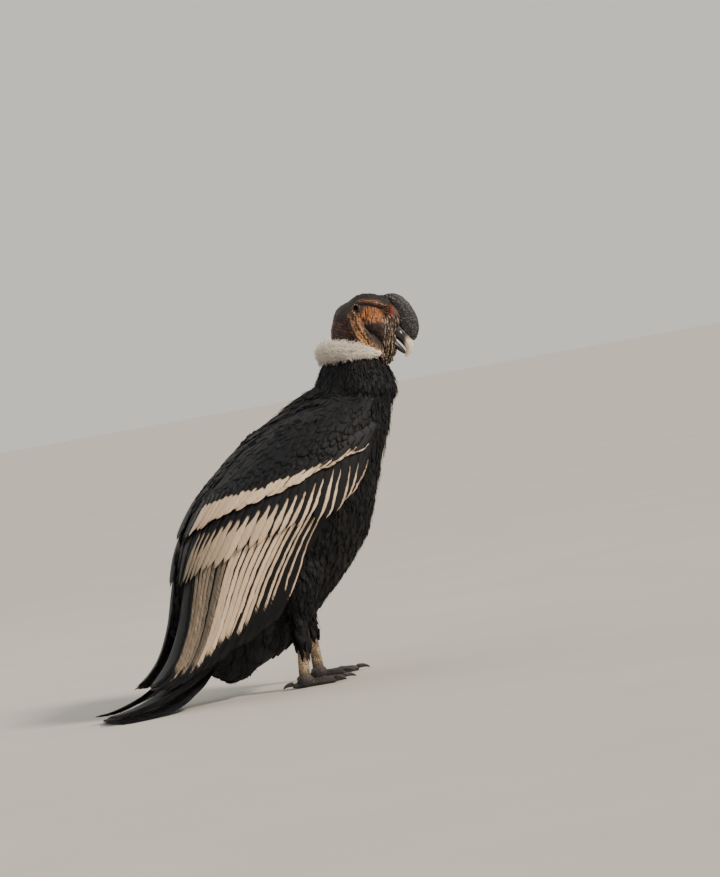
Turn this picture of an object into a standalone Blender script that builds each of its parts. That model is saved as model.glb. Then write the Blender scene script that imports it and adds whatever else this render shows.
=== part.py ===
"""Andean condor, an adult male, life size, standing at rest with its wings folded.

Metres, +Z up, facing +X, the bird's left at +Y. The floor is at z = 0. The body is divided into the
parts a person would name, which meet face to face with a small gap.
"""

import math
from dataclasses import dataclass

import bmesh
import bpy
from mathutils import Euler, Matrix, Vector

# The gap left between two parts that touch.
GAP = 0.0003

# How round the body's cross-sections are: 2 is an ellipse, more is squarer.
BODY_SQUARENESS = 2.15
WING_SQUARENESS = 2.4

# Sections of the trunk, from the neck's root to the tail's root, in the plane of symmetry:
# back x, back z, front x, front z, half width, and how much narrower the front is than the sides.
TORSO = (
    (0.185, 0.640, 0.280, 0.640, 0.050, 0.00),
    (0.150, 0.608, 0.296, 0.592, 0.083, 0.00),
    (0.085, 0.575, 0.280, 0.520, 0.114, 0.05),
    (0.020, 0.535, 0.243, 0.440, 0.136, 0.12),
    (-0.045, 0.485, 0.218, 0.366, 0.146, 0.20),
    (-0.103, 0.424, 0.188, 0.292, 0.144, 0.30),
    (-0.150, 0.352, 0.122, 0.218, 0.134, 0.50),
    (-0.184, 0.280, 0.046, 0.150, 0.116, 0.68),
    (-0.210, 0.208, -0.030, 0.088, 0.092, 0.60),
    (-0.232, 0.144, -0.104, 0.048, 0.066, 0.40),
    (-0.248, 0.098, -0.172, 0.034, 0.044, 0.20),
)

# The surface that the folded wings lie on, in the same terms, from the shoulder to the wing tips.
SHROUD = (
    (0.140, 0.608, 0.290, 0.575, 0.114),
    (0.075, 0.578, 0.268, 0.500, 0.146),
    (0.005, 0.542, 0.240, 0.420, 0.164),
    (-0.062, 0.499, 0.222, 0.345, 0.170),
    (-0.122, 0.449, 0.190, 0.270, 0.168),
    (-0.176, 0.392, 0.130, 0.190, 0.158),
    (-0.218, 0.325, 0.050, 0.120, 0.139),
    (-0.244, 0.250, -0.040, 0.070, 0.116),
    (-0.268, 0.175, -0.125, 0.045, 0.094),
    (-0.302, 0.108, -0.205, 0.030, 0.078),
    (-0.346, 0.062, -0.285, 0.020, 0.070),
    (-0.394, 0.038, -0.365, 0.014, 0.066),
    (-0.440, 0.026, -0.435, 0.010, 0.062),
    (-0.490, 0.022, -0.490, 0.008, 0.058),
)

# The black feathered neck, from inside the trunk to the ruff.
NECK = (
    (0.122, 0.560, 0.246, 0.512, 0.074),
    (0.134, 0.612, 0.308, 0.575, 0.096),
    (0.150, 0.644, 0.312, 0.612, 0.088),
    (0.162, 0.670, 0.306, 0.643, 0.077),
    (0.178, 0.692, 0.300, 0.664, 0.066),
)

# The head's frame: turned to the bird's right and bowed, so that x runs along the bill.
HEAD_PLACE = Vector((0.2734, -0.015, 0.753))
HEAD_TURN = Euler((0.0, math.radians(10), math.radians(-20)))

# The bare neck in the head's frame, from inside the skull to the ruff.
BARE_NECK = (
    (-0.066, 0.012, 0.008, 0.020, 0.030),
    (-0.077, -0.016, 0.024, -0.020, 0.038),
    (-0.078, -0.044, 0.034, -0.050, 0.041),
    (-0.073, -0.072, 0.042, -0.082, 0.045),
    (-0.070, -0.088, 0.046, -0.100, 0.047),
)

EYE_PLACE = Vector((0.041, 0.0215, 0.019))
EYE_RADIUS = 0.0085
NOSTRIL_PLACE = Vector((0.0735, 0, -0.0300))
EAR_PLACE = Vector((-0.0245, 0.0305, 0.0205))
# The line of the mouth where it runs on behind the bill, on the right cheek.
GAPE = ((0.066, 0.0165, -0.036), (0.054, 0.0215, -0.027), (0.043, 0.0260, -0.020))

# Faces that meet at less than this angle after a cut are one flat face.
FLAT_ENOUGH = math.radians(0.3)

# How the names of forms that only cut end; none is left when the bird is done.
FORM = "_form"

VANE_THICKNESS = 0.0009
TAIL_FEATHERS = 12
TAIL_LAYER = 0.00095
TAIL_THICKNESS = 0.0007

MIDDLE_TOE = 0.094
TOE_RADIUS = 0.0100
# How high a toe's middle lies over the floor, as a share of its half depth: its underside is flat.
SOLE_LEVEL = 0.76
CLAW_LENGTH = 0.026


def clear_scene():
    """Removes whatever the scene starts with."""
    for obj in list(bpy.data.objects):
        bpy.data.objects.remove(obj)


def finish_of(name, colour, roughness, metallic=0.0):
    """A Principled BSDF material in one colour."""
    material = bpy.data.materials.new(name)
    material.use_nodes = True
    shader = material.node_tree.nodes["Principled BSDF"]
    shader.inputs["Base Color"].default_value = (*colour, 1.0)
    shader.inputs["Roughness"].default_value = roughness
    shader.inputs["Metallic"].default_value = metallic
    return material


def make_object(name, verts, faces, material=None):
    """A mesh object from points and faces, in the condor's collection."""
    mesh = bpy.data.meshes.new(name)
    mesh.from_pydata([tuple(v) for v in verts], [], faces)
    obj = bpy.data.objects.new(name, mesh)
    CONDOR.objects.link(obj)
    if material:
        mesh.materials.append(material)
    return obj


def face_out(obj):
    """Turns all faces of a closed mesh outwards, and splits them into triangles."""
    edit = bmesh.new()
    edit.from_mesh(obj.data)
    bmesh.ops.triangulate(edit, faces=edit.faces)
    bmesh.ops.recalc_face_normals(edit, faces=edit.faces)
    if edit.calc_volume(signed=True) < 0:
        bmesh.ops.reverse_faces(edit, faces=edit.faces)
    edit.to_mesh(obj.data)
    edit.free()
    return obj


def bake_modifiers(obj):
    """Replaces the object's mesh by what its modifiers make of it."""
    graph = bpy.context.evaluated_depsgraph_get()
    mesh = bpy.data.meshes.new_from_object(obj.evaluated_get(graph))
    obj.modifiers.clear()
    obj.data = mesh
    edit = bmesh.new()
    edit.from_mesh(mesh)
    bmesh.ops.dissolve_limit(edit, angle_limit=FLAT_ENOUGH, verts=edit.verts, edges=edit.edges)
    bmesh.ops.triangulate(edit, faces=edit.faces)
    edit.to_mesh(mesh)
    edit.free()
    return obj


def keep_largest(obj):
    """Keeps only the largest closed surface of a mesh."""
    edit = bmesh.new()
    edit.from_mesh(obj.data)
    left = set(edit.faces)
    islands = []
    while left:
        stack = [left.pop()]
        island = list(stack)
        while stack:
            for edge in stack.pop().edges:
                for face in edge.link_faces:
                    if face in left:
                        left.remove(face)
                        stack.append(face)
                        island.append(face)
        islands.append(island)
    islands.sort(key=lambda faces: sum(f.calc_area() for f in faces))
    for island in islands[:-1]:
        bmesh.ops.delete(edit, geom=island, context="FACES")
    edit.to_mesh(obj.data)
    edit.free()
    return obj


def fuse(core, pieces, solver="MANIFOLD"):
    """Joins closed pieces to a core by one Boolean union, and removes the pieces."""
    group = bpy.data.collections.new(core.name + "_pieces")
    bpy.context.scene.collection.children.link(group)
    for piece in pieces:
        CONDOR.objects.unlink(piece)
        group.objects.link(piece)
    union = core.modifiers.new("fuse", "BOOLEAN")
    union.operation = "UNION"
    union.operand_type = "COLLECTION"
    union.collection = group
    union.solver = solver
    bake_modifiers(core)
    for piece in list(group.objects):
        bpy.data.objects.remove(piece)
    bpy.data.collections.remove(group)
    return keep_largest(core)


def whole_form(obj):
    """A copy of a part as it was before any cut, to cut its neighbours with."""
    twin = obj.copy()
    twin.data = obj.data.copy()
    twin.name = obj.name + FORM
    CONDOR.objects.link(twin)
    return twin


def carve(obj, *neighbours, clearance=GAP):
    """Cuts an object clear of its neighbours, leaving the gap that touching parts keep."""
    for neighbour in neighbours:
        cutter = neighbour.copy()
        cutter.data = neighbour.data.copy()
        CONDOR.objects.link(cutter)
        edit = bmesh.new()
        edit.from_mesh(cutter.data)
        edit.normal_update()
        pushed = [(v, v.co + v.normal * clearance) for v in edit.verts]
        for vert, place in pushed:
            vert.co = place
        edit.to_mesh(cutter.data)
        edit.free()
        cut = obj.modifiers.new("carve", "BOOLEAN")
        cut.operation = "DIFFERENCE"
        cut.object = cutter
        cut.solver = "MANIFOLD"
        bake_modifiers(obj)
        bpy.data.objects.remove(cutter)
    return keep_largest(obj)


def mirrored(obj, name):
    """The same part on the bird's other side."""
    twin = obj.copy()
    twin.data = obj.data.copy()
    twin.name = name
    CONDOR.objects.link(twin)
    twin.data.transform(Matrix.Scale(-1, 4, (0, 1, 0)))
    twin.data.flip_normals()
    return twin


def along(rows, t):
    """The row at station t, read from a smooth curve through the rows."""
    last = len(rows) - 1
    t = min(max(t, 0.0), last)
    i = min(int(t), last - 1)
    f = t - i
    quad = (rows[max(i - 1, 0)], rows[i], rows[i + 1], rows[min(i + 2, last)])
    return [
        0.5 * (2 * b + (c - a) * f + (2 * a - 5 * b + 4 * c - d) * f**2 + (3 * b - a - 3 * c + d) * f**3)
        for a, b, c, d in zip(*quad)
    ]


def rounded(value, squareness):
    """A cosine or sine pushed towards a squarer section."""
    return math.copysign(abs(value) ** (2 / squareness), value)


def section_point(rows, t, angle, squareness):
    """A point of a section: angle 0 is the back, 90 degrees the bird's right side."""
    back_x, back_z, front_x, front_z, half_width, *pinch = along(rows, t)
    across = rounded(math.cos(angle), squareness)
    aside = rounded(math.sin(angle), squareness)
    if pinch:
        half_width *= 1 - pinch[0] * ((1 - across) / 2) ** 2
    middle = Vector(((back_x + front_x) / 2, 0, (back_z + front_z) / 2))
    depth = Vector(((back_x - front_x) / 2, 0, (back_z - front_z) / 2))
    return middle + depth * across + Vector((0, -half_width * aside, 0))


def ring_faces(rings, sides, first=0):
    """Quads between closed rings of points that follow one another."""
    faces = []
    for ring in range(rings - 1):
        for side in range(sides):
            a = first + ring * sides + side
            b = first + ring * sides + (side + 1) % sides
            faces.append((a, b, b + sides, a + sides))
    return faces


def capped(verts, faces, rings, sides):
    """Adds a pole at each end of a stack of rings."""
    for ring, turn in ((0, 1), (rings - 1, -1)):
        ring_ids = [ring * sides + side for side in range(sides)]
        pole = sum((Vector(verts[i]) for i in ring_ids), Vector()) / sides
        verts.append(pole)
        centre = len(verts) - 1
        for side in range(sides):
            a, b = ring_ids[side], ring_ids[(side + 1) % sides]
            faces.append((b, a, centre) if turn > 0 else (a, b, centre))
    return verts, faces


def loft(name, rows, rings, sides, squareness, material):
    """A closed body through sections given by their back, front and half width."""
    last = len(rows) - 1
    verts = []
    for ring in range(rings):
        for side in range(sides):
            angle = math.tau * side / sides
            verts.append(section_point(rows, last * ring / (rings - 1), angle, squareness))
    verts, faces = capped(verts, ring_faces(rings, sides), rings, sides)
    return face_out(make_object(name, verts, faces, material))


def limb(name, rows, rings, sides, material, bumps=0, bump=0.0, floor=None):
    """A closed round body along a path of (x, y, z, half width, half depth).

    Its section keeps its width square to the path's own plane of symmetry. bumps swells it that many
    times along its length, and floor flattens what would reach below that height.
    """
    last = len(rows) - 1
    verts = []
    side_axis = Vector((0, 1, 0))
    for ring in range(rings):
        t = last * ring / (rings - 1)
        x, y, z, half_width, half_depth = along(rows, t)
        ahead, behind = along(rows, t + 0.05), along(rows, t - 0.05)
        tangent = (Vector(ahead[:3]) - Vector(behind[:3])).normalized()
        across = (side_axis - tangent * side_axis.dot(tangent)).normalized()
        side_axis = across
        up = across.cross(tangent)
        swell = 1 + bump * math.cos(math.tau * bumps * ring / (rings - 1))
        for side in range(sides):
            angle = math.tau * side / sides
            place = Vector((x, y, z))
            place += across * math.cos(angle) * half_width * swell
            place += up * math.sin(angle) * half_depth * swell
            verts.append(place)
    verts, faces = capped(verts, ring_faces(rings, sides), rings, sides)
    if floor is not None:
        for place in verts:
            place.z = max(place.z, floor)
    return face_out(make_object(name, verts, faces, material))


def shroud_point(t, angle, lift):
    """A point over the surface that the wings lie on, and the outward normal there."""
    step = 0.01
    here = section_point(SHROUD, t, angle, WING_SQUARENESS)
    along_body = section_point(SHROUD, t + step, angle, WING_SQUARENESS) - section_point(
        SHROUD, t - step, angle, WING_SQUARENESS
    )
    around = section_point(SHROUD, t, angle + step, WING_SQUARENESS) - section_point(
        SHROUD, t, angle - step, WING_SQUARENESS
    )
    normal = along_body.cross(around).normalized()
    return here + normal * lift, normal


# Along a vane: share of its length, and share of its greatest width.
VANE_OUTLINE = ((0.0, 0.45), (0.32, 0.90), (0.68, 1.0), (0.92, 0.75), (1.0, 0.16))
COVERT_OUTLINE = ((0.0, 0.6), (0.4, 0.95), (0.8, 0.95), (0.95, 0.6), (1.0, 0.2))
SHORT_OUTLINE = ((0.0, 0.6), (0.55, 1.0), (0.88, 0.75), (1.0, 0.25))



def vane(name, path, width, tilt, outline=VANE_OUTLINE, thickness=VANE_THICKNESS):
    """One feather: a thin strip along path(k), which gives its middle and its outward normal.

    tilt raises its forward edge, so that a row of vanes lies like shingles.
    """
    verts = []
    for share, breadth in outline:
        middle, normal = path(share)
        ahead, _ = path(share + 0.02)
        behind, _ = path(share - 0.02)
        shaft = (ahead - behind).normalized()
        side = shaft.cross(normal).normalized()
        leaning = side * math.cos(tilt) - normal * math.sin(tilt)
        face = leaning.cross(shaft).normalized()
        if face.dot(normal) < 0:
            face = -face
        half = leaning * (width * breadth / 2)
        thick = face * (thickness / 2) * (0.45 + 0.55 * min(1.0, breadth * 1.4))
        verts += [middle - half + thick, middle + half + thick, middle + half - thick, middle - half - thick]
    faces = []
    count = len(outline)
    for k in range(count - 1):
        a = 4 * k
        b = a + 4
        for first, second in ((0, 1), (1, 2), (2, 3), (3, 0)):
            if first == 2:
                faces += [(a + 2, a + 3, b + 2), (a + 3, b + 3, b + 2)]
            else:
                faces += [(a + first, a + second, b + second), (a + first, b + second, b + first)]
    faces += [(0, 3, 2), (0, 2, 1)]
    end = 4 * (count - 1)
    faces += [(end, end + 1, end + 2), (end, end + 2, end + 3)]
    return face_out(make_object(name, verts, faces))


def between(start, end, share):
    """The value a share of the way from start to end."""
    return start + (end - start) * share


# The line of feather roots along the forearm, from the wrist to the elbow: station and angle.
ROOT_FRONT = (1.55, math.radians(100))
ROOT_BACK = (5.15, math.radians(7.0))
ARM_TOP = 0.05
ARM_THICKNESS = 0.0245
# Where the arm comes out of the shoulder it is this much deeper, and is cut to fit the trunk.
SHOULDER_DEPTH = 0.050


def root_line(share, ahead=0.0):
    """Station and angle on the line of feather roots, the wrist at share 0."""
    bow = 0.35 * math.sin(math.pi * share)
    t = between(ROOT_FRONT[0], ROOT_BACK[0], share) + bow + ahead
    return t, between(ROOT_FRONT[1], ROOT_BACK[1], share)


def arm(name, material):
    """The folded arm under its small black coverts: a smooth shell over the body's flank."""
    columns, steps = 13, 7
    grid = {}
    verts = []
    for layer in (0, 1):
        for column in range(columns):
            share = column / (columns - 1)
            t_low, angle = root_line(share)
            for row in range(steps):
                down = row / (steps - 1)
                t = between(ARM_TOP, t_low, down)
                bulk = min(1.0, 0.22 + 1.6 * down) * min(1.0, 0.35 + 4.5 * share)
                if row == steps - 1:
                    bulk *= 0.80
                lift = 0.0012 + ARM_THICKNESS * bulk
                if layer == 0:
                    lift = 0.0012 - SHOULDER_DEPTH * max(0.0, 1 - down / 0.4) * math.sin(math.pi * share)
                place, _ = shroud_point(t, angle, lift)
                place.y = min(place.y, -0.0012)
                grid[layer, column, row] = len(verts)
                verts.append(place)
    faces = []
    for column in range(columns - 1):
        for row in range(steps - 1):
            for layer in (0, 1):
                faces.append(
                    (
                        grid[layer, column, row],
                        grid[layer, column + 1, row],
                        grid[layer, column + 1, row + 1],
                        grid[layer, column, row + 1],
                    )
                )
    rims = [((column, row), (column + 1, row)) for column in range(columns - 1) for row in (0, steps - 1)]
    rims += [((column, row), (column, row + 1)) for row in range(steps - 1) for column in (0, columns - 1)]
    for here, there in rims:
        faces.append((grid[0, *here], grid[0, *there], grid[1, *there], grid[1, *here]))
    return face_out(make_object(name, verts, faces, material))


@dataclass(frozen=True)
class Tier:
    """One row of wing feathers; each pair holds the value at the wrist and at the elbow.

    first and last are the shares of the root line that it covers, and ahead is how far before that line
    its roots start, in stations. rises and falls lift the roots and the tips off the body, tilts raise
    the front edges (degrees), floor is the lowest a feather may lie, bend turns the foremost feathers
    back on their way (degrees), and tips is the line of the tips, as stations and angles in degrees.
    """

    outline: tuple
    count: int
    first: float
    last: float
    ahead: float
    widths: tuple
    rises: tuple
    falls: tuple
    tilts: tuple
    floor: float
    bend: float
    tips: tuple


MEDIAN_TIER = Tier(
    outline=SHORT_OUTLINE,
    count=8,
    first=0.03,
    last=0.97,
    ahead=-0.55,
    widths=(0.040, 0.037),
    rises=(0.0205, 0.0225),
    falls=(0.0190, 0.0230),
    tilts=(6.0, 7.0),
    floor=0.03,
    bend=0.0,
    tips=((1.95, 92.0), (2.90, 75.0), (3.85, 60.0), (4.60, 43.0), (5.20, 25.0), (5.75, 8.0)),
)
GREATER_TIER = Tier(
    outline=COVERT_OUTLINE,
    count=11,
    first=0.02,
    last=0.97,
    ahead=-0.30,
    widths=(0.036, 0.038),
    rises=(0.0140, 0.0155),
    falls=(0.0130, 0.0180),
    tilts=(6.0, 9.0),
    floor=0.03,
    bend=0.0,
    tips=((2.95, 101.0), (3.95, 93.0), (4.50, 79.0), (5.30, 66.0), (6.20, 44.0), (6.75, 24.0), (6.90, 9.0)),
)
SECOND_TIER = Tier(
    outline=VANE_OUTLINE,
    count=11,
    first=0.01,
    last=0.96,
    ahead=-0.25,
    widths=(0.041, 0.043),
    rises=(0.0075, 0.0090),
    falls=(0.0020, 0.0170),
    tilts=(6.5, 11.0),
    floor=0.024,
    bend=13.0,
    tips=((6.75, 100.0), (7.70, 94.0), (8.60, 86.0), (9.40, 74.0), (10.2, 62.0), (10.5, 48.0), (10.2, 34.0)),
)
# How much higher than the front feathers' floor the rear ones keep.
FLOOR_STEP = 0.012


def tier_vanes(tier):
    """The vanes of one tier, from the wrist to the elbow."""
    made = []
    for number in range(tier.count):
        share = number / (tier.count - 1)
        root_t, root_angle = root_line(between(tier.first, tier.last, share), tier.ahead)
        tip_t, tip_angle = along(tier.tips, share * (len(tier.tips) - 1))
        root, tip = (root_t, root_angle), (tip_t, math.radians(tip_angle))
        rise, fall = between(*tier.rises, share), between(*tier.falls, share)
        bow = math.radians(tier.bend) * (1 - share)

        def path(k, root=root, tip=tip, rise=rise, fall=fall, bow=bow, floor=tier.floor + FLOOR_STEP * share):
            angle = between(root[1], tip[1], k) - bow * math.sin(math.pi * min(max(k, 0), 1))
            place, normal = shroud_point(between(root[0], tip[0], k), angle, between(rise, fall, k))
            place.z = max(place.z, floor)
            return place, normal

        tilt = math.radians(between(*tier.tilts, share))
        made.append(vane(f"feather_{number}", path, between(*tier.widths, share), tilt, outline=tier.outline))
    return made


PRIMARIES = 3
PRIMARY_FLOOR = 0.0130
PRIMARY_LAYER = 0.0020


def primary_vanes():
    """The long black flight feathers of the hand, stacked under the rest, out to the wing's tip."""
    made = []
    for number in range(PRIMARIES):
        share = number / (PRIMARIES - 1)
        root = (1.95, math.radians(92 - 3 * share))
        tip = (11.5 + 1.0 * math.sin(math.pi * (0.10 + 0.55 * share)), math.radians(between(66, 46, share)))
        level = between(-0.0105, -0.0045, share)

        def path(k, a=root, b=tip, low=level, layer=number * PRIMARY_LAYER):
            angle = a[1] + (b[1] - a[1]) * max(k, 0.0) ** 2.2
            lift = between(0.004 + low * 0.6, low, min(1.0, max(k, 0.0) * 3))
            place, normal = shroud_point(between(a[0], b[0], k), angle, lift)
            place.z = max(place.z, PRIMARY_FLOOR + layer)
            level_out = min(max((k - 0.6) / 0.35, 0.0), 1.0)
            return place, normal.lerp(Vector((0, -0.15, 1)), level_out).normalized()

        made.append(vane(f"primary_{number}", path, 0.042, math.radians(1)))
    return made


def cut_beyond(obj, corner, opposite):
    """Cuts off all of an object that lies in the box between two corners."""
    bpy.ops.mesh.primitive_cube_add(size=1)
    box = bpy.context.active_object
    size = [high - low for low, high in zip(corner, opposite)]
    middle = [(low + high) / 2 for low, high in zip(corner, opposite)]
    box.data.transform(Matrix.Translation(middle) @ Matrix.Diagonal((*size, 1)))
    carve(obj, box, clearance=0.0)
    bpy.data.objects.remove(box)
    return obj


def build_wings(material):
    """The folded right wing: the arm, and the tiers of feathers that stand out of it."""
    right = arm("wing_right", material)
    pieces = primary_vanes()
    for tier in (MEDIAN_TIER, GREATER_TIER, SECOND_TIER):
        pieces += tier_vanes(tier)
    fuse(right, pieces)
    return cut_beyond(right, (-1, -0.0006, -1), (1, 1, 1))


# The tail's middle line over the floor, from inside the trunk to the tip.
TAIL_LINE = (
    (-0.165, 0.112),
    (-0.210, 0.078),
    (-0.255, 0.044),
    (-0.302, 0.0175),
    (-0.350, 0.0035),
    (-0.405, 0.00035),
    (-0.462, 0.00035),
)


def build_tail(material):
    """Twelve broad tail feathers, the middle pair uppermost, fanned from a fleshy root."""
    core = limb(
        "tail",
        (
            (-0.170, 0, 0.112, 0.028, 0.018),
            (-0.218, 0, 0.076, 0.032, 0.017),
            (-0.262, 0, 0.044, 0.030, 0.008),
        ),
        6,
        12,
        material,
    )
    pieces = []
    for number in range(TAIL_FEATHERS):
        side = -1 if number % 2 else 1
        rank = number // 2
        layer = (TAIL_FEATHERS - 1 - number) * TAIL_LAYER

        def path(k, rank=rank, side=side, layer=layer):
            x, z = along(TAIL_LINE, (len(TAIL_LINE) - 1) * (0.14 + 0.86 * k) - 0.06 * rank * k)
            y = side * (rank + 0.5) * (0.0035 + 0.0095 * k)
            return Vector((x, y, z + layer)), Vector((0, 0, 1))

        feather = vane(f"rectrix_{number}", path, 0.050, 0.0, thickness=TAIL_THICKNESS)
        for vert in feather.data.vertices:
            vert.co.z = max(vert.co.z, 0.0)
        pieces.append(feather)
    return fuse(core, pieces)


def ball(name, place, radii, pitch=0.0, segments=20, rings=12):
    """An ellipsoid, turned nose down by pitch degrees."""
    bpy.ops.mesh.primitive_uv_sphere_add(segments=segments, ring_count=rings, radius=1)
    obj = bpy.context.active_object
    obj.name = name
    for home in list(obj.users_collection):
        home.objects.unlink(obj)
    CONDOR.objects.link(obj)
    turn = Matrix.Rotation(math.radians(pitch), 4, "Y")
    obj.data.transform(Matrix.Translation(place) @ turn @ Matrix.Diagonal((*radii, 1)))
    return face_out(obj)


def blend(core, pieces, voxel, smoothing, triangles, material):
    """Melts overlapping closed forms into one soft body of about that many triangles."""
    for piece in pieces:
        mesh = core.data
        edit = bmesh.new()
        edit.from_mesh(mesh)
        edit.from_mesh(piece.data)
        edit.to_mesh(mesh)
        edit.free()
        bpy.data.objects.remove(piece)
    remesh = core.modifiers.new("melt", "REMESH")
    remesh.mode = "VOXEL"
    remesh.voxel_size = voxel
    soften = core.modifiers.new("soften", "SMOOTH")
    soften.factor = 0.5
    soften.iterations = smoothing
    bake_modifiers(core)
    core.data.calc_loop_triangles()
    thin = core.modifiers.new("thin", "DECIMATE")
    thin.ratio = min(1.0, triangles / len(core.data.loop_triangles))
    bake_modifiers(core)
    core.data.materials.clear()
    core.data.materials.append(material)
    return keep_largest(core)


def to_head(obj):
    """Moves a mesh made in the head's frame to its place on the bird."""
    obj.data.transform(Matrix.Translation(HEAD_PLACE) @ HEAD_TURN.to_matrix().to_4x4())
    return obj


def ring_of(name, place, facing, major, minor, segments=9, sides=4):
    """A torus whose axis lies along facing, such as the rim of an eye or an ear."""
    bpy.ops.mesh.primitive_torus_add(
        major_radius=major, minor_radius=minor, major_segments=segments, minor_segments=sides
    )
    obj = bpy.context.active_object
    obj.name = name
    for home in list(obj.users_collection):
        home.objects.unlink(obj)
    CONDOR.objects.link(obj)
    turn = Vector(facing).to_track_quat("Z", "Y").to_matrix().to_4x4()
    obj.data.transform(Matrix.Translation(place) @ turn)
    return face_out(obj)


def build_head(skin):
    """The skull under its bare skin, with brows, cheeks, jaw, lids and the cups of the ears."""
    core = ball("head", (0.002, 0, 0.012), (0.052, 0.036, 0.042))
    pieces = [
        ball("brow", (0.030, 0, 0.024), (0.027, 0.030, 0.026)),
        ball("face", (0.048, 0, -0.002), (0.030, 0.020, 0.034)),
        ball("jaw", (0.026, 0, -0.026), (0.040, 0.029, 0.030)),
        ball("nape", (-0.030, 0, -0.004), (0.044, 0.036, 0.040)),
    ]
    for side in (-1, 1):
        pieces.append(ball("ridge", (0.010, side * 0.029, 0.0345), (0.032, 0.0080, 0.0075), pitch=6))
        pieces.append(ball("cheek", (0.010, side * 0.022, -0.010), (0.030, 0.018, 0.026)))
    head = blend(core, pieces, 0.004, 4, 660, skin)
    rims, pits = [], []
    for side in (-1, 1):
        eye = Vector((EYE_PLACE.x, side * EYE_PLACE.y, EYE_PLACE.z))
        lid = eye + Vector((0.001, side * 0.0048, 0))
        rims.append(ring_of("lid", lid, (0.30, side, 0.1), 0.0078, 0.0026))
        ear = Vector((EAR_PLACE.x, side * EAR_PLACE.y, EAR_PLACE.z))
        rims.append(ring_of("ear", ear, (-0.25, side, 0.2), 0.0070, 0.0026))
        pits.append(ball("ear_pit", ear, (0.0052, 0.0075, 0.0052), segments=8, rings=5))
        gape = [(x, side * y, z, 0.004, 0.0012) for x, y, z in GAPE]
        pits.append(limb("gape", gape, 4, 5, skin))
    fuse(head, rims)
    for pit in pits:
        carve(head, pit, clearance=0.0)
        bpy.data.objects.remove(pit)
    return head


# The comb in the head's frame: x, y, z, half width, half depth, from the crown to its lobe over the bill.
COMB = (
    (0.036, 0, 0.046, 0.006, 0.004),
    (0.048, 0, 0.045, 0.010, 0.010),
    (0.063, 0, 0.037, 0.0125, 0.0165),
    (0.078, 0, 0.018, 0.0138, 0.0210),
    (0.088, 0, -0.007, 0.0140, 0.0240),
    (0.095, 0, -0.027, 0.0120, 0.0200),
    (0.099, 0, -0.041, 0.0080, 0.0110),
    (0.100, 0, -0.048, 0.0032, 0.0045),
)
UPPER_BILL = (
    (0.052, 0, -0.012, 0.0145, 0.0150),
    (0.066, 0, -0.028, 0.0135, 0.0150),
    (0.079, 0, -0.040, 0.0125, 0.0140),
    (0.089, 0, -0.054, 0.0105, 0.0120),
    (0.092, 0, -0.068, 0.0070, 0.0080),
    (0.087, 0, -0.079, 0.0035, 0.0040),
    (0.083, 0, -0.084, 0.0012, 0.0014),
)
LOWER_BILL = (
    (0.044, 0, -0.040, 0.0140, 0.0080),
    (0.058, 0, -0.054, 0.0130, 0.0075),
    (0.071, 0, -0.065, 0.0105, 0.0065),
    (0.080, 0, -0.073, 0.0065, 0.0045),
    (0.0835, 0, -0.0765, 0.0025, 0.0020),
)
# The fleshy fold that runs from behind the ear to the throat's front: two knobbed strands side by side.
FOLD = (
    (-0.030, -0.037, 0.006, 0.005, 0.006),
    (-0.027, -0.040, -0.012, 0.007, 0.010),
    (-0.015, -0.0425, -0.034, 0.008, 0.0125),
    (0.000, -0.0445, -0.054, 0.008, 0.0130),
    (0.016, -0.0415, -0.076, 0.0075, 0.012),
    (0.031, -0.033, -0.098, 0.0065, 0.009),
    (0.038, -0.026, -0.110, 0.003, 0.004),
)
FOLD_SPREAD = 0.0135

# The wattle: loose folds of skin that hang from the cheeks and chin and draw together at the throat.
# Each row is the middle fold's place, how far the outer folds spread there, half width and half depth.
WATTLE = (
    (0.058, 1.00, -0.024, 0.0040, 0.008),
    (0.060, 0.95, -0.044, 0.0055, 0.011),
    (0.056, 0.80, -0.064, 0.0055, 0.012),
    (0.050, 0.55, -0.082, 0.0050, 0.010),
    (0.045, 0.35, -0.098, 0.0035, 0.006),
)
# How far back and to the side of the middle fold each fold hangs.
WATTLE_FOLDS = ((0.0, 0.0), (-0.006, 0.0115), (-0.006, -0.0115), (-0.019, 0.0180), (-0.019, -0.0180))


def build_fold(name, side, skin):
    """One side's fleshy neck fold; side is -1 on the bird's right."""
    strands = []
    for number, (shift, bumps) in enumerate(((-0.5, 4), (0.5, 5))):
        rows = [
            (x + shift * FOLD_SPREAD, -side * (y - 0.0015), z + shift * FOLD_SPREAD * 0.6, w, d * 0.85)
            for x, y, z, w, d in FOLD
        ]
        strands.append(limb(name if number == 0 else "strand", rows, 12, 6, skin, bumps=bumps, bump=0.12))
    return to_head(fuse(strands[0], strands[1:]))


def build_wattle(skin):
    """The hanging throat folds, fused side by side."""
    strands = []
    for number, (back, aside) in enumerate(WATTLE_FOLDS):
        rows = [(x + back, aside * spread, z, w, d) for x, spread, z, w, d in WATTLE]
        name = "wattle" if number == 0 else "strand"
        strands.append(limb(name, rows, 6, 5, skin, bumps=2 + number % 2, bump=0.10))
    return to_head(fuse(strands[0], strands[1:]))


# The ruff stands round the neck but for a gap under the throat; angle 0 is the nape.
RUFF_REACH = math.radians(122)
RUFF_MIDDLE = Vector((0.2370, 0, 0.6800))
RUFF_BACK = Vector((-0.0650, 0, 0.0130))
RUFF_SIDE = Vector((0, -0.0670, 0))
RUFF_AXIS = Vector((0.2, 0, 0.98)).normalized()

# The collar's half thickness and half height, where it is fullest.
RUFF_CORE = (0.0170, 0.0250)


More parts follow.
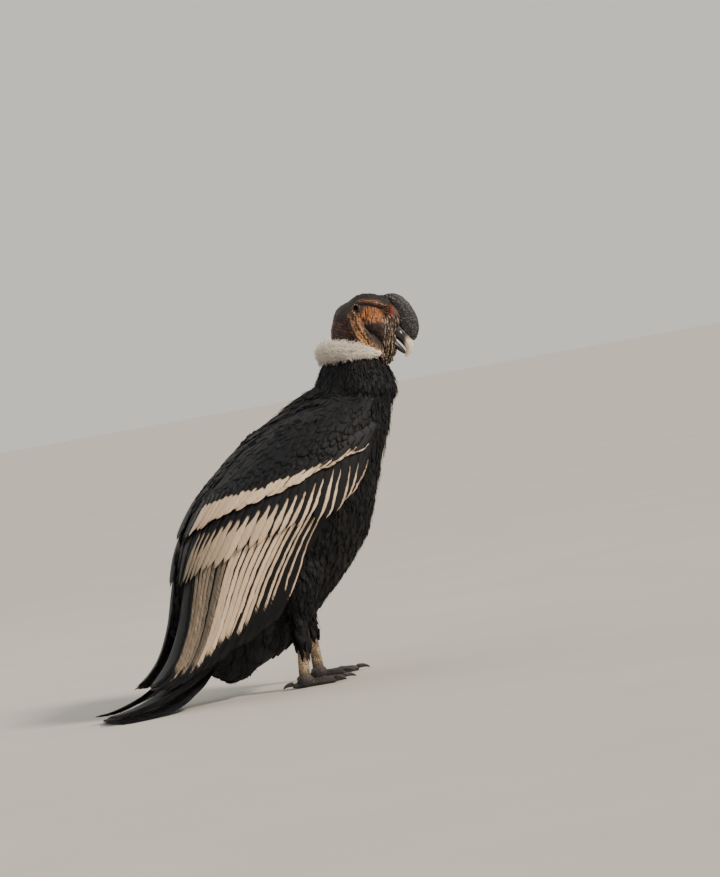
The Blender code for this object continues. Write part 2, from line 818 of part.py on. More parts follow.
def ruff_point(angle, turn):
    """A point on the ruff; turn runs round its section, 90 degrees being its top."""
    fullness = 0.40 + 0.60 * max(0.0, math.cos(angle * math.pi / 2.2 / RUFF_REACH)) ** 0.7
    out = (RUFF_BACK.normalized() * math.cos(angle) + RUFF_SIDE.normalized() * math.sin(angle)).normalized()
    place = RUFF_MIDDLE + RUFF_BACK * math.cos(angle) + RUFF_SIDE * math.sin(angle)
    place += out * math.cos(turn) * RUFF_CORE[0] * fullness
    return place + RUFF_AXIS * math.sin(turn) * RUFF_CORE[1] * fullness


def build_ruff(down):
    """The collar of white down: one full ring, open under the throat."""
    steps, sides = 15, 8
    verts = []
    for step in range(steps):
        angle = between(-RUFF_REACH, RUFF_REACH, step / (steps - 1))
        for side in range(sides):
            verts.append(ruff_point(angle, math.tau * (side + 0.5) / sides))
    verts, faces = capped(verts, ring_faces(steps, sides), steps, sides)
    return face_out(make_object("ruff", verts, faces, down))


# The claw: share of its length, height of its middle over the floor, and half breadth.
CLAW = ((-0.12, 0.0085, 0.0052), (0.3, 0.0092, 0.0048), (0.7, 0.0070, 0.0034), (1.0, 0.0026, 0.0012))


def claw_and_toe(side_name, ankle, heading, length, radius, lift, number, skin, horn):
    """A toe along the floor with knuckles, and its blunt claw."""
    ahead = Vector((math.cos(heading), math.sin(heading), 0))
    start = Vector((ankle.x, ankle.y, 0.018)) - ahead * 0.004
    rows = []
    for share, breadth in ((0, 1.1), (0.3, 1.0), (0.62, 0.92), (0.9, 0.85), (1.0, 0.5)):
        place = start + ahead * length * share
        depth = radius * 0.95 * breadth
        height = depth * SOLE_LEVEL + lift * share
        rows.append((place.x, place.y, height, radius * breadth, depth))
    toe = limb(f"toe_{side_name}_{number}", rows, 7, 6, skin, bumps=2, bump=0.08, floor=0.0)
    tip = start + ahead * length
    claw_rows = []
    for share, height, breadth in CLAW:
        place = tip + ahead * CLAW_LENGTH * share * radius / TOE_RADIUS
        claw_rows.append((place.x, place.y, height + lift, breadth, breadth * 1.1))
    claw = limb(f"claw_{side_name}_{number}", claw_rows, 5, 5, horn, floor=0.0004)
    return toe, claw


def build_leg(side_name, hip, hock, ankle, heading, torso, plumage, scales, skin, horn):
    """A feathered thigh, a scaled shank, and a foot of four toes with claws."""
    thigh = limb(
        f"thigh_{side_name}",
        (
            (*hip, 0.042, 0.066),
            (*hip.lerp(hock, 0.40), 0.042, 0.060),
            (*hip.lerp(hock, 0.75), 0.033, 0.044),
            (hock.x, hock.y, hock.z - 0.002, 0.018, 0.023),
        ),
        8,
        12,
        plumage,
    )
    thigh_form = whole_form(thigh)
    carve(thigh, torso)
    shank = limb(
        f"shank_{side_name}",
        (
            (hock.x, hock.y, hock.z + 0.012, 0.0100, 0.0120),
            (hock.x, hock.y, hock.z - 0.012, 0.0110, 0.0135),
            (*hock.lerp(ankle, 0.5), 0.0095, 0.0112),
            (ankle.x, ankle.y, ankle.z + 0.010, 0.0110, 0.0125),
            (ankle.x, ankle.y, ankle.z - 0.004, 0.0110, 0.0120),
        ),
        8,
        10,
        scales,
    )
    shank_form = whole_form(shank)
    carve(shank, thigh_form)
    foot_size = (0.019, 0.017, 0.0145)
    foot = ball(f"foot_{side_name}", (ankle.x, ankle.y, 0.0135), foot_size, segments=10, rings=6)
    for vert in foot.data.vertices:
        vert.co.z = max(vert.co.z, 0.0)
    foot.data.materials.append(skin)
    inward = 1 if side_name == "right" else -1
    spread = (
        (0.0, MIDDLE_TOE, TOE_RADIUS, 0.0),
        (math.radians(27) * inward, MIDDLE_TOE * 0.66, TOE_RADIUS * 0.9, 0.0),
        (math.radians(-26) * inward, MIDDLE_TOE * 0.72, TOE_RADIUS * 0.9, 0.0),
        (math.radians(168), MIDDLE_TOE * 0.36, TOE_RADIUS * 0.8, 0.002),
    )
    toes, claws = [], []
    for number, (turn, length, radius, lift) in enumerate(spread):
        toe, claw = claw_and_toe(side_name, ankle, heading + turn, length, radius, lift, number, skin, horn)
        toes.append(toe)
        claws.append(claw)
    fuse(foot, toes)
    carve(foot, shank_form)
    for claw in claws:
        carve(claw, foot)


def centre_on_floor():
    """Moves the bird so that the middle of its box stands over the origin."""
    corners = [obj.matrix_world @ v.co for obj in CONDOR.objects for v in obj.data.vertices]
    low = [min(c[i] for c in corners) for i in range(3)]
    high = [max(c[i] for c in corners) for i in range(3)]
    shift = Matrix.Translation((-(low[0] + high[0]) / 2, -(low[1] + high[1]) / 2, -low[2]))
    for obj in CONDOR.objects:
        obj.data.transform(shift)


# Each leg: the places of its hip, hock and ankle, and the way its foot points, in radians from +X.
LEGS = {
    "right": ((-0.005, -0.068, 0.275), (-0.020, -0.080, 0.160), (-0.031, -0.080, 0.020), 0.04),
    "left": ((0.055, 0.066, 0.275), (0.055, 0.080, 0.152), (0.057, 0.081, 0.020), -0.06),
}


def main():
    """Builds the whole bird."""
    plumage = finish_of("black_plumage", (0.010, 0.011, 0.013), 0.55)
    feather = finish_of("wing_feathers", (0.30, 0.26, 0.20), 0.6)
    down = finish_of("white_down", (0.80, 0.76, 0.68), 0.9)
    skin = finish_of("bare_skin", (0.16, 0.06, 0.035), 0.6)
    comb_skin = finish_of("comb_skin", (0.03, 0.032, 0.036), 0.6)
    ivory = finish_of("ivory_bill", (0.62, 0.58, 0.50), 0.35)
    scales = finish_of("shank_scales", (0.45, 0.38, 0.28), 0.7)
    toe_skin = finish_of("toe_skin", (0.02, 0.02, 0.02), 0.7)
    horn = finish_of("claw_horn", (0.012, 0.011, 0.010), 0.4)
    eye_gloss = finish_of("eye_gloss", (0.03, 0.012, 0.006), 0.05)

    torso = loft("torso", TORSO, 15, 18, BODY_SQUARENESS, plumage)
    neck = loft("neck", NECK, 8, 18, 2.0, plumage)
    neck_form = whole_form(neck)
    carve(neck, torso)

    wing = build_wings(feather)
    carve(wing, torso, neck_form)
    mirrored(wing, "wing_left")

    tail = build_tail(plumage)
    carve(tail, torso)

    head = to_head(build_head(skin))
    head_form = whole_form(head)
    bare_neck = to_head(loft("bare_neck", BARE_NECK, 7, 16, 2.0, skin))
    bare_form = whole_form(bare_neck)
    carve(bare_neck, head_form, neck_form)
    upper = to_head(limb("bill_upper", UPPER_BILL, 11, 10, ivory))
    upper_form = whole_form(upper)
    lower = to_head(limb("bill_lower", LOWER_BILL, 8, 10, ivory))
    lower_form = whole_form(lower)
    comb = to_head(limb("comb", COMB, 11, 10, comb_skin))
    carve(upper, head_form)
    nostril = ball("nostril", NOSTRIL_PLACE, (0.0045, 0.02, 0.0022), pitch=50, segments=8, rings=5)
    to_head(nostril)
    carve(upper, nostril, clearance=0.0)
    bpy.data.objects.remove(nostril)
    carve(lower, head_form, upper_form)
    carve(comb, head_form, upper_form)
    fold_forms = []
    for name, side in (("right", -1), ("left", 1)):
        place = (EYE_PLACE.x, side * EYE_PLACE.y, EYE_PLACE.z)
        eye = ball(f"eye_{name}", place, (EYE_RADIUS,) * 3, segments=10, rings=6)
        eye.data.materials.append(eye_gloss)
        to_head(eye)
        carve(head, eye)
        fold = build_fold(f"fold_{name}", side, skin)
        fold_forms.append(whole_form(fold))
        carve(fold, head_form, bare_form, neck_form)
    wattle = build_wattle(skin)
    wattle_form = whole_form(wattle)
    carve(wattle, head_form, bare_form, neck_form, lower_form, upper_form, *fold_forms)
    ruff = build_ruff(down)
    carve(ruff, neck_form, bare_form, wattle_form, *fold_forms)

    for side_name, (hip, hock, ankle, heading) in LEGS.items():
        joints = (Vector(hip), Vector(hock), Vector(ankle))
        build_leg(side_name, *joints, heading, torso, plumage, scales, toe_skin, horn)
    for obj in list(CONDOR.objects):
        if obj.name.endswith(FORM):
            bpy.data.objects.remove(obj)
    centre_on_floor()


CONDOR = bpy.data.collections.new("andean_condor")
clear_scene()
bpy.context.scene.collection.children.link(CONDOR)
main()
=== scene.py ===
"""Andean condor, adult male, life size: skin, feathers, down, bare head, bill, legs and studio.

Metres, +Z up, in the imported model's own frame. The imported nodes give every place: the skin is grown
from them, and the feathers are laid on that skin or on the named surface that the folded wings follow.
"""

import logging
import math
from collections.abc import Callable, Iterable
from dataclasses import dataclass
from enum import Enum, IntEnum

import bpy
import numpy as np
from mathutils import Euler, Matrix, Vector, noise
from mathutils.bvhtree import BVHTree
from mathutils.kdtree import KDTree


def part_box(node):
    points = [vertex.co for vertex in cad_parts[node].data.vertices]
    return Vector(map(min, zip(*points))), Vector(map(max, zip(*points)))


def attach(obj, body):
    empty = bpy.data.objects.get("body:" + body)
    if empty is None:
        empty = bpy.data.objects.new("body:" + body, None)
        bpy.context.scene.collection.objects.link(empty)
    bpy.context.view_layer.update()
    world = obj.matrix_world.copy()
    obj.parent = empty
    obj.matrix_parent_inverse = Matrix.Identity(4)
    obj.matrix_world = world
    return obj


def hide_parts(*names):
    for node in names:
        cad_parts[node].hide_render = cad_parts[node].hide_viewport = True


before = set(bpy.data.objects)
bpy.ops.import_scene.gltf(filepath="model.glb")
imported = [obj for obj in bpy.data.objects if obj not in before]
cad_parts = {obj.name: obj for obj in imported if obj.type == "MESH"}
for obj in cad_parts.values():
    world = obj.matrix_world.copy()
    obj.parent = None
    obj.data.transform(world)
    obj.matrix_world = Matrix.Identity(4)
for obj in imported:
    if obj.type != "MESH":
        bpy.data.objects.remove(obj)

Array, Piece, Material = np.ndarray, bpy.types.Object, bpy.types.Material
Pair, Point = tuple[float, float], tuple[float, float, float]

log = logging.getLogger("condor")
logging.basicConfig(level=logging.INFO, format="%(message)s")

MM = 0.001
SEED = 20

# The head's own frame, x along the bill: where it stands, and how it is bowed and turned.
HEAD_PLACE = Vector((0.2734, -0.015, 0.753))
HEAD_TURN = Euler((0.0, math.radians(10), math.radians(-20))).to_matrix()
EYE_PLACE = Vector((0.041, 0.0215, 0.019))

# The surface that the folded wings lie on, shoulder to wing tip, in the plane of symmetry:
# back x, back z, front x, front z, half width.
WING_SECTIONS = (
    (0.140, 0.608, 0.290, 0.575, 0.114),
    (0.075, 0.578, 0.268, 0.500, 0.146),
    (0.005, 0.542, 0.240, 0.420, 0.164),
    (-0.062, 0.499, 0.222, 0.345, 0.170),
    (-0.122, 0.449, 0.190, 0.270, 0.168),
    (-0.176, 0.392, 0.130, 0.190, 0.158),
    (-0.218, 0.325, 0.050, 0.120, 0.139),
    (-0.244, 0.250, -0.040, 0.070, 0.116),
    (-0.268, 0.175, -0.125, 0.045, 0.094),
    (-0.302, 0.108, -0.205, 0.030, 0.078),
    (-0.346, 0.062, -0.285, 0.020, 0.070),
    (-0.394, 0.038, -0.365, 0.014, 0.066),
    (-0.440, 0.026, -0.435, 0.010, 0.062),
    (-0.490, 0.022, -0.490, 0.008, 0.058),
)
WING_SQUARENESS = 2.4

# The plane through the ruff, where the bare neck gives way to feathers: a point on it and the way it faces.
RUFF_MIDDLE = Vector((0.2370, 0, 0.6800))
RUFF_AXIS = Vector((0.2, 0, 0.98)).normalized()

# The marks of feathers of one colour: where pale starts and ends, its share of the web, and its shade, below 1
# where shade is painted into the pale.
ALL_BLACK = (2.0, 1.2, 1.2, 1.0)
ALL_PALE = (-1.0, 2.0, 1.5, 1.0)


def shift_of_frame() -> Vector:
    """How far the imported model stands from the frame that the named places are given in.

    Returns:
        The shift, in metres.
    """
    low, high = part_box("eye_right")
    place = HEAD_PLACE + HEAD_TURN @ Vector((EYE_PLACE.x, -EYE_PLACE.y, EYE_PLACE.z))
    return (Vector(low) + Vector(high)) / 2 - place


SHIFT = shift_of_frame()


class Side(IntEnum):
    """The bird's sides; the value says which way y points there."""

    RIGHT = -1
    LEFT = 1


class Region(Enum):
    """Stretches of the small coat; nothing grows on NONE, and WISPS stand among all the loose feathers."""

    NONE = ""
    VENT = "vent"
    THIGH = "thigh"
    BELLY = "belly"
    BREAST = "breast"
    NECK = "neck"
    BACK = "back"
    RUMP = "rump"
    ARM = "arm"
    MANTLE = "mantle"
    WISPS = "wisps"


class Finish(Enum):
    """Names for the finishes' material slots."""

    PLUMAGE = "plumage"
    WING = "wing_feathers"
    DOWN = "down"
    BARE_SKIN = "bare_skin"
    COMB = "comb_skin"
    BILL = "bill"
    EYE = "eye"
    SHANK = "shank_scales"
    TOE = "toe_skin"
    CLAW = "claw"


def linear(code: str) -> tuple[float, float, float, float]:
    """Turns an sRGB hex colour into linear light.

    Args:
        code: six hex digits, with or without a leading #.

    Returns:
        Red, green, blue and an alpha of 1.
    """
    code = code.lstrip("#")
    parts = [int(code[i : i + 2], 16) / 255 for i in (0, 2, 4)]
    return (*[c / 12.92 if c <= 0.04045 else ((c + 0.055) / 1.055) ** 2.4 for c in parts], 1.0)


def evenly(share: Array, values: tuple[float, ...]) -> Array:
    """Values given at even steps from 0 to 1, read at shares in between."""
    return np.interp(share, np.linspace(0, 1, len(values)), values)


def bell(value: Array, width: float) -> Array:
    """A bump of height 1 at value 0."""
    return np.exp(-((value / width) ** 2))


def unit(vectors: Array) -> Array:
    """The same vectors at length one."""
    return vectors / np.maximum(np.linalg.norm(vectors, axis=-1, keepdims=True), 1e-9)


def ease(low: float, high: float, value: Array) -> Array:
    """A smooth step from 0 at low to 1 at high."""
    share = np.clip((value - low) / (high - low), 0, 1)
    return share * share * (3 - 2 * share)


def deselect() -> None:
    """Leaves nothing selected and object mode on."""
    if bpy.context.object and bpy.context.object.mode != "OBJECT":
        bpy.ops.object.mode_set(mode="OBJECT")
    bpy.ops.object.select_all(action="DESELECT")


def pick_only(piece: Piece) -> None:
    """Leaves one object selected and active.

    Args:
        piece: the object.
    """
    deselect()
    piece.select_set(True)
    bpy.context.view_layer.objects.active = piece


def edit_all(piece: Piece, operator: Callable[..., object], **settings: object) -> None:
    """Runs one edit mode operator over a whole piece.

    Args:
        piece: the object.
        operator: the operator.
        settings: its settings.
    """
    pick_only(piece)
    bpy.ops.object.mode_set(mode="EDIT")
    bpy.ops.mesh.select_all(action="SELECT")
    operator(**settings)
    bpy.ops.object.mode_set(mode="OBJECT")


def unwrap(piece: Piece) -> None:
    """Unwraps a piece onto the OFBake map."""
    edit_all(piece, bpy.ops.uv.smart_project, angle_limit=math.radians(75), island_margin=0.002)
    piece.data.uv_layers[0].name = "OFBake"


def apply(piece: Piece, kind: str, **settings: object) -> None:
    """Adds a modifier, sets it and applies it.

    Args:
        piece: the object that gets it.
        kind: the modifier's type.
        settings: its properties.
    """
    pick_only(piece)
    modifier = piece.modifiers.new(kind.lower(), kind)
    for name, value in settings.items():
        setattr(modifier, name, value)
    bpy.ops.object.modifier_apply(modifier=modifier.name)


def joined(pieces: list[Piece]) -> Piece:
    """Joins objects into the first of them.

    Args:
        pieces: the objects, one or more.

    Returns:
        The one that is left.
    """
    deselect()
    for piece in pieces:
        piece.select_set(True)
    bpy.context.view_layer.objects.active = pieces[0]
    if len(pieces) > 1:
        bpy.ops.object.join()
    return bpy.context.view_layer.objects.active


def twin_of(*nodes: str) -> Piece:
    """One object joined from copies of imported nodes, their loose triangles merged.

    Args:
        nodes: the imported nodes' names.

    Returns:
        The joined object, with no material and no map.
    """
    copies = []
    for name in nodes:
        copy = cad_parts[name].copy()
        copy.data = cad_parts[name].data.copy()
        bpy.context.scene.collection.objects.link(copy)
        copies.append(copy)
    twin = joined(copies)
    edit_all(twin, bpy.ops.mesh.remove_doubles, threshold=0.00001)
    twin.data.materials.clear()
    for layer in list(twin.data.uv_layers):
        twin.data.uv_layers.remove(layer)
    return twin


def refined(nodes: tuple[str, ...], voxel: float, smooth: int) -> Piece:
    """A finer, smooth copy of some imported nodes.

    Args:
        nodes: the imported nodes' names.
        voxel: the copy's grain.
        smooth: rounds of smoothing.

    Returns:
        The copy, with no material and no map.
    """
    piece = twin_of(*nodes)
    apply(piece, "REMESH", mode="VOXEL", voxel_size=voxel, adaptivity=0.0)
    apply(piece, "SMOOTH", factor=0.5, iterations=smooth)
    return piece


def read(items: object, name: str, width: int = 1, kind: type = float) -> Array:
    """Reads one property of every item of a Blender collection.

    Args:
        items: the collection.
        name: the property.
        width: how many values it has.
        kind: the type of its values.

    Returns:
        One row of values an item.
    """
    flat = np.empty(len(items) * width, dtype=kind)
    items.foreach_get(name, flat)
    return flat.reshape(-1, width)


def places_of(piece: Piece) -> Array:
    """Every point of a mesh, one row each."""
    return read(piece.data.vertices, "co", 3)


def normals_of(piece: Piece) -> Array:
    """Every point's outward normal, one row each."""
    return read(piece.data.vertex_normals, "vector", 3)


def tree_of(points: Iterable[Vector]) -> KDTree:
    """Plants a tree that finds the nearest of some points.

    Args:
        points: the points, in the order of their numbers.

    Returns:
        The tree.
    """
    tree = KDTree(len(points))
    for k, point in enumerate(points):
        tree.insert(Vector(point), k)
    tree.balance()
    return tree


def within(places: Array, node: str, margin: float, axes: int = 3) -> Array:
    """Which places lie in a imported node's box, let out by a margin, over the first axes."""
    low, high = (np.array(corner[:axes]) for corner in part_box(node))
    return np.all((places[:, :axes] > low - margin) & (places[:, :axes] < high + margin), axis=1)


def set_places(piece: Piece, places: Array) -> None:
    """Moves every point of a mesh."""
    piece.data.vertices.foreach_set("co", places.ravel())
    piece.data.update()


def above_floor(piece: Piece) -> None:
    """Raises the points of a piece that lie under the floor.

    Args:
        piece: the mesh object.
    """
    places = places_of(piece)
    places[:, 2] = np.maximum(places[:, 2], 0.0)
    set_places(piece, places)


def write_colour(mesh: bpy.types.Mesh, name: str, values: Array) -> None:
    """Keeps four values a point as a named attribute."""
    layer = mesh.attributes.new(name, "FLOAT_COLOR", "POINT")
    layer.data.foreach_set("color", np.asarray(values, dtype=np.float32).ravel())


def finished(piece: Piece, name: str, material: Material,
             replaced: Iterable[str] = ()) -> Piece:
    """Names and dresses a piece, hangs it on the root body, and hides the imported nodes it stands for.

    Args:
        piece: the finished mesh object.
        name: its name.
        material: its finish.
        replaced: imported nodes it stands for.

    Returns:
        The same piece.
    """
    piece.name = name
    piece.data.name = name
    if not piece.data.materials:
        piece.data.materials.append(material)
    for polygon in piece.data.polygons:
        polygon.use_smooth = True
    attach(piece, "root")
    if replaced:
        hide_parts(*replaced)
    log.info("%s: %d faces", name, len(piece.data.polygons))
    return piece


@dataclass(frozen=True)
class Sections:
    """A smooth surface through sections in the plane of symmetry; angle 0 is the back, 90 the right side."""

    rows: tuple[tuple[float, ...], ...]
    squareness: float

    def along(self, station: Array) -> Array:
        """The rows' values at fractional stations, on a smooth curve through them.

        Args:
            station: stations along the surface, 0 at its first section.

        Returns:
            One row of values a station.
        """
        table = np.array(self.rows)
        last = len(table) - 1
        station = np.clip(station, 0, last)
        i = np.minimum(station.astype(int), last - 1)
        f = (station - i)[..., None]
        a, b = table[np.maximum(i - 1, 0)], table[i]
        c, d = table[i + 1], table[np.minimum(i + 2, last)]
        return 0.5 * (
            2 * b + (c - a) * f + (2 * a - 5 * b + 4 * c - d) * f**2 + (3 * b - a - 3 * c + d) * f**3
        )

    def place(self, station: Array, angle: Array) -> Array:
        """Points on the surface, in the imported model's frame.

        Args:
            station: stations along the surface, 0 at its first section.
            angle: angles round it in radians, 0 at the back.

        Returns:
            The points.
        """
        row = self.along(station)
        power = 2 / self.squareness
        across = np.sign(np.cos(angle)) * np.abs(np.cos(angle)) ** power
        aside = np.sign(np.sin(angle)) * np.abs(np.sin(angle)) ** power
        x = (row[..., 0] + row[..., 2]) / 2 + (row[..., 0] - row[..., 2]) / 2 * across
        z = (row[..., 1] + row[..., 3]) / 2 + (row[..., 1] - row[..., 3]) / 2 * across
        return np.stack([x, -row[..., 4] * aside, z], axis=-1) + np.array(SHIFT)

    def lifted(self, station: Array, angle: Array, lift: Array) -> tuple[Array, Array]:
        """Points over the surface and the outward normals there.

        Args:
            station: stations along the surface, 0 at its first section.
            angle: angles round it in radians, 0 at the back.
            lift: how far each point stands off the surface.

        Returns:
            The points and the normals.
        """
        step = 0.01
        down = self.place(station + step, angle) - self.place(station - step, angle)
        around = self.place(station, angle + step) - self.place(station, angle - step)
        normal = unit(np.cross(down, around))
        return self.place(station, angle) + normal * np.asarray(lift)[..., None], normal


WING_SURFACE = Sections(WING_SECTIONS, WING_SQUARENESS)


@dataclass(frozen=True)
class RootLine:
    """The line of feather roots along the folded forearm: the wrist's station and angle, and the elbow's."""

    front: Pair = (1.55, 100.0)
    back: Pair = (5.15, 7.0)
    bow: float = 0.35

    def station(self, share: Array) -> Array:
        """Stations at shares of the way from the wrist to the elbow."""
        return self.front[0] + (self.back[0] - self.front[0]) * share + self.bow * np.sin(math.pi * share)

    def angle(self, share: Array) -> Array:
        """Angles at shares of the way, in radians."""
        return np.radians(self.front[1] + (self.back[1] - self.front[1]) * share)

    def share(self, aside: Array) -> Array:
        """How far along the line an angle lies, from degrees off the back."""
        return np.clip((self.front[1] - aside) / (self.front[1] - self.back[1]), 0, 1)


WING_ROOTS = RootLine()


class Blank:
    """A feather modelled once, lying along x from 0 to 1, ready to be copied and laid."""

    def __init__(self, stations: tuple[float, ...], columns: tuple[float, ...], thickness: float) -> None:
        """Models the blank from a plane that is cut at its stations and columns and given a wall.

        Args:
            stations: shares of the length where the vane may bend, 0 and 1 among them.
            columns: shares of the half width, -1 (front web) to 1 (rear web); two make a plain blade.
            thickness: how thick the vane is.
        """
        deselect()
        bpy.ops.mesh.primitive_plane_add(size=1, location=(0.5, 0, 0))
        piece = bpy.context.active_object
        bpy.ops.object.transform_apply(location=True)
        piece.data.transform(Matrix.Diagonal((1, 2, 1, 1)))
        bpy.ops.object.mode_set(mode="EDIT")
        cuts = [
            ((x, 0, 0), (1, 0, 0)) for x in stations[1:-1]
        ] + [((0, y, 0), (0, 1, 0)) for y in columns[1:-1]]
        for place, direction in cuts:
            bpy.ops.mesh.select_all(action="SELECT")
            bpy.ops.mesh.bisect(plane_co=place, plane_no=direction)
        bpy.ops.object.mode_set(mode="OBJECT")
        apply(piece, "SOLIDIFY", thickness=1.0, offset=0.0)
        apply(piece, "TRIANGULATE")
        self.stations = np.array(stations)
        points = places_of(piece)
        self.bend = np.abs(points[:, 0:1] - self.stations[None, :]).argmin(axis=1)
        self.along = self.stations[self.bend]
        self.across = points[:, 1]
        self.level = points[:, 2]
        self.thickness = thickness
        piece.data.calc_loop_triangles()
        self.faces = np.array([tuple(t.vertices) for t in piece.data.loop_triangles])
        bpy.data.objects.remove(piece)


def spaced(count: int, end: float = 1.0) -> tuple[float, ...]:
    """Shares from 0 to 1, closer together towards the tip when end is below 1."""
    return tuple(float(k / (count - 1)) ** end for k in range(count))


@dataclass
class Lay:
    """Where a batch of feathers lies: arrays over feathers and the blank's stations.

    middle and normal are (feathers, stations, 3). width, tilt, camber and brown are one value a feather,
    and mark is four values a feather that the finish reads. ragged is how uneven the vanes' edges are.
    On down, brown is how far the finish greys it as painted shade.
    """

    middle: Array
    normal: Array
    width: Array | float
    tilt: Array | float
    camber: Array | float
    mark: Array | tuple[float, ...]
    brown: Array | float
    ragged: float = 0.0

    def __post_init__(self) -> None:
        """Spreads what was given once over all the feathers."""
        for name, shape in (("width", ()), ("tilt", ()), ("camber", ()), ("mark", (4,)), ("brown", ())):
            setattr(self, name, np.broadcast_to(getattr(self, name), (len(self.middle), *shape)))

    def part(self, pick: slice) -> "Lay":
        """The same for some of the feathers."""
        names = ("middle", "normal", "width", "tilt", "camber", "mark", "brown")
        return Lay(*(getattr(self, name)[pick] for name in names), self.ragged)


class Coat:
    """Feathers gathered into one mesh."""

    def __init__(self, seed: int) -> None:
        """Starts an empty coat with its own random draw.

        Args:
            seed: what sets this draw apart from the others.
        """
        self.draw = np.random.default_rng(SEED + seed)
        self.points: list[Array] = []
        self.faces: list[Array] = []
        self.vanes: list[Array] = []
        self.marks: list[Array] = []
        self.barbs: list[Array] = []
        self.spots: list[Array] = []
        self.count = 0

    def lay(self, blank: Blank, outline: Callable[[Array], Array], lay: Lay, spots: Array,
            spot_size: float) -> None:
        """Copies a blank onto every path of a batch.

        Args:
            blank: the feather modelled once.
            outline: share of the greatest width at a share of the length.
            lay: the paths and sizes.
            spots: each feather's place on the bake map.
            spot_size: how large its patch is there.
        """
        middle, normal = lay.middle, unit(lay.normal)
        shaft = unit(np.gradient(middle, blank.stations, axis=1))
        side = unit(np.cross(shaft, normal))
        tilt = lay.tilt[:, None, None]
        leaning = side * np.cos(tilt) - normal * np.sin(tilt)
        face = unit(np.cross(leaning, shaft))
        face *= np.sign(np.sum(face * normal, axis=-1, keepdims=True))
        count, size = len(middle), len(blank.bend)
        jag = 1 + lay.ragged * self.draw.uniform(-1, 0.35, (count, size)) * (np.abs(blank.across) > 0.9)
        breadth = outline(blank.along)[None, :] * blank.across[None, :] * jag
        half = lay.width[:, None] / 2
        swell = -lay.camber[:, None] * (breadth * half) ** 2 / np.maximum(half, 1e-4)
        lift = blank.level[None, :] * blank.thickness * (0.35 + 0.65 * (1 - np.abs(blank.across))) + swell
        points = (
            middle[:, blank.bend]
            + leaning[:, blank.bend] * (breadth * half)[..., None]
            + face[:, blank.bend] * lift[..., None]
        )
        length = np.linalg.norm(np.diff(middle, axis=1), axis=-1).sum(axis=1)
        vane = np.empty((count, size, 4))
        vane[..., 0] = blank.along
        vane[..., 1] = blank.across * 0.5 + 0.5
        vane[..., 2] = self.draw.uniform(0, 1, (count, 1))
        vane[..., 3] = lay.brown[:, None]
        barbs = np.stack(
            [blank.along * length[:, None] - 1.1 * np.abs(breadth * half), breadth * half], axis=-1
        )
        spot = np.stack(
            [blank.along * np.ones((count, 1)), blank.across * 0.5 * np.ones((count, 1)) + 0.5], axis=-1
        )
        self.points.append(points.reshape(-1, 3))
        self.faces.append(
            (blank.faces[None, :, ::-1] + self.count + np.arange(count)[:, None, None] * size).reshape(-1, 3)
        )
        self.vanes.append(vane.reshape(-1, 4))
        self.marks.append(np.repeat(lay.mark, size, axis=0))
        self.barbs.append((barbs + self.draw.uniform(0, 4, (count, 1, 2))).reshape(-1, 2))
        self.spots.append((spots[:, None, :] + spot * spot_size).reshape(-1, 2))
        self.count += count * size

    def mirrored(self) -> "Coat":
        """The same coat on the bird's other side.

        Returns:
            A coat that can be made, but not laid further.
        """
        twin = Coat(0)
        twin.points = [p * np.array([1, -1, 1]) for p in self.points]
        twin.faces = [f[:, ::-1] for f in self.faces]
        twin.vanes, twin.marks, twin.barbs = self.vanes, self.marks, self.barbs
        twin.spots, twin.count = self.spots, self.count
        return twin

    def make(self) -> Piece:
        """The joined mesh object, with its attributes and maps.

        Returns:
            The mesh object, with no material yet.
        """
        points, faces = np.concatenate(self.points), np.concatenate(self.faces)
        mesh = bpy.data.meshes.new("coat")
        mesh.vertices.add(len(points))
        mesh.vertices.foreach_set("co", points.ravel())
        mesh.loops.add(len(faces) * 3)
        mesh.loops.foreach_set("vertex_index", faces.ravel())
        mesh.polygons.add(len(faces))
        mesh.polygons.foreach_set("loop_start", np.arange(len(faces)) * 3)
        mesh.update(calc_edges=True)
        write_colour(mesh, "Vane", np.concatenate(self.vanes))
        write_colour(mesh, "Mark", np.concatenate(self.marks))
        for name, values in (("OFBake", self.spots), ("Barbs", self.barbs)):
            layer = mesh.uv_layers.new(name=name)
            layer.data.foreach_set("uv", np.concatenate(values)[faces.ravel()].ravel())
        mesh.uv_layers["OFBake"].active_render = True
        piece = bpy.data.objects.new("coat", mesh)
        bpy.context.scene.collection.objects.link(piece)
        return piece


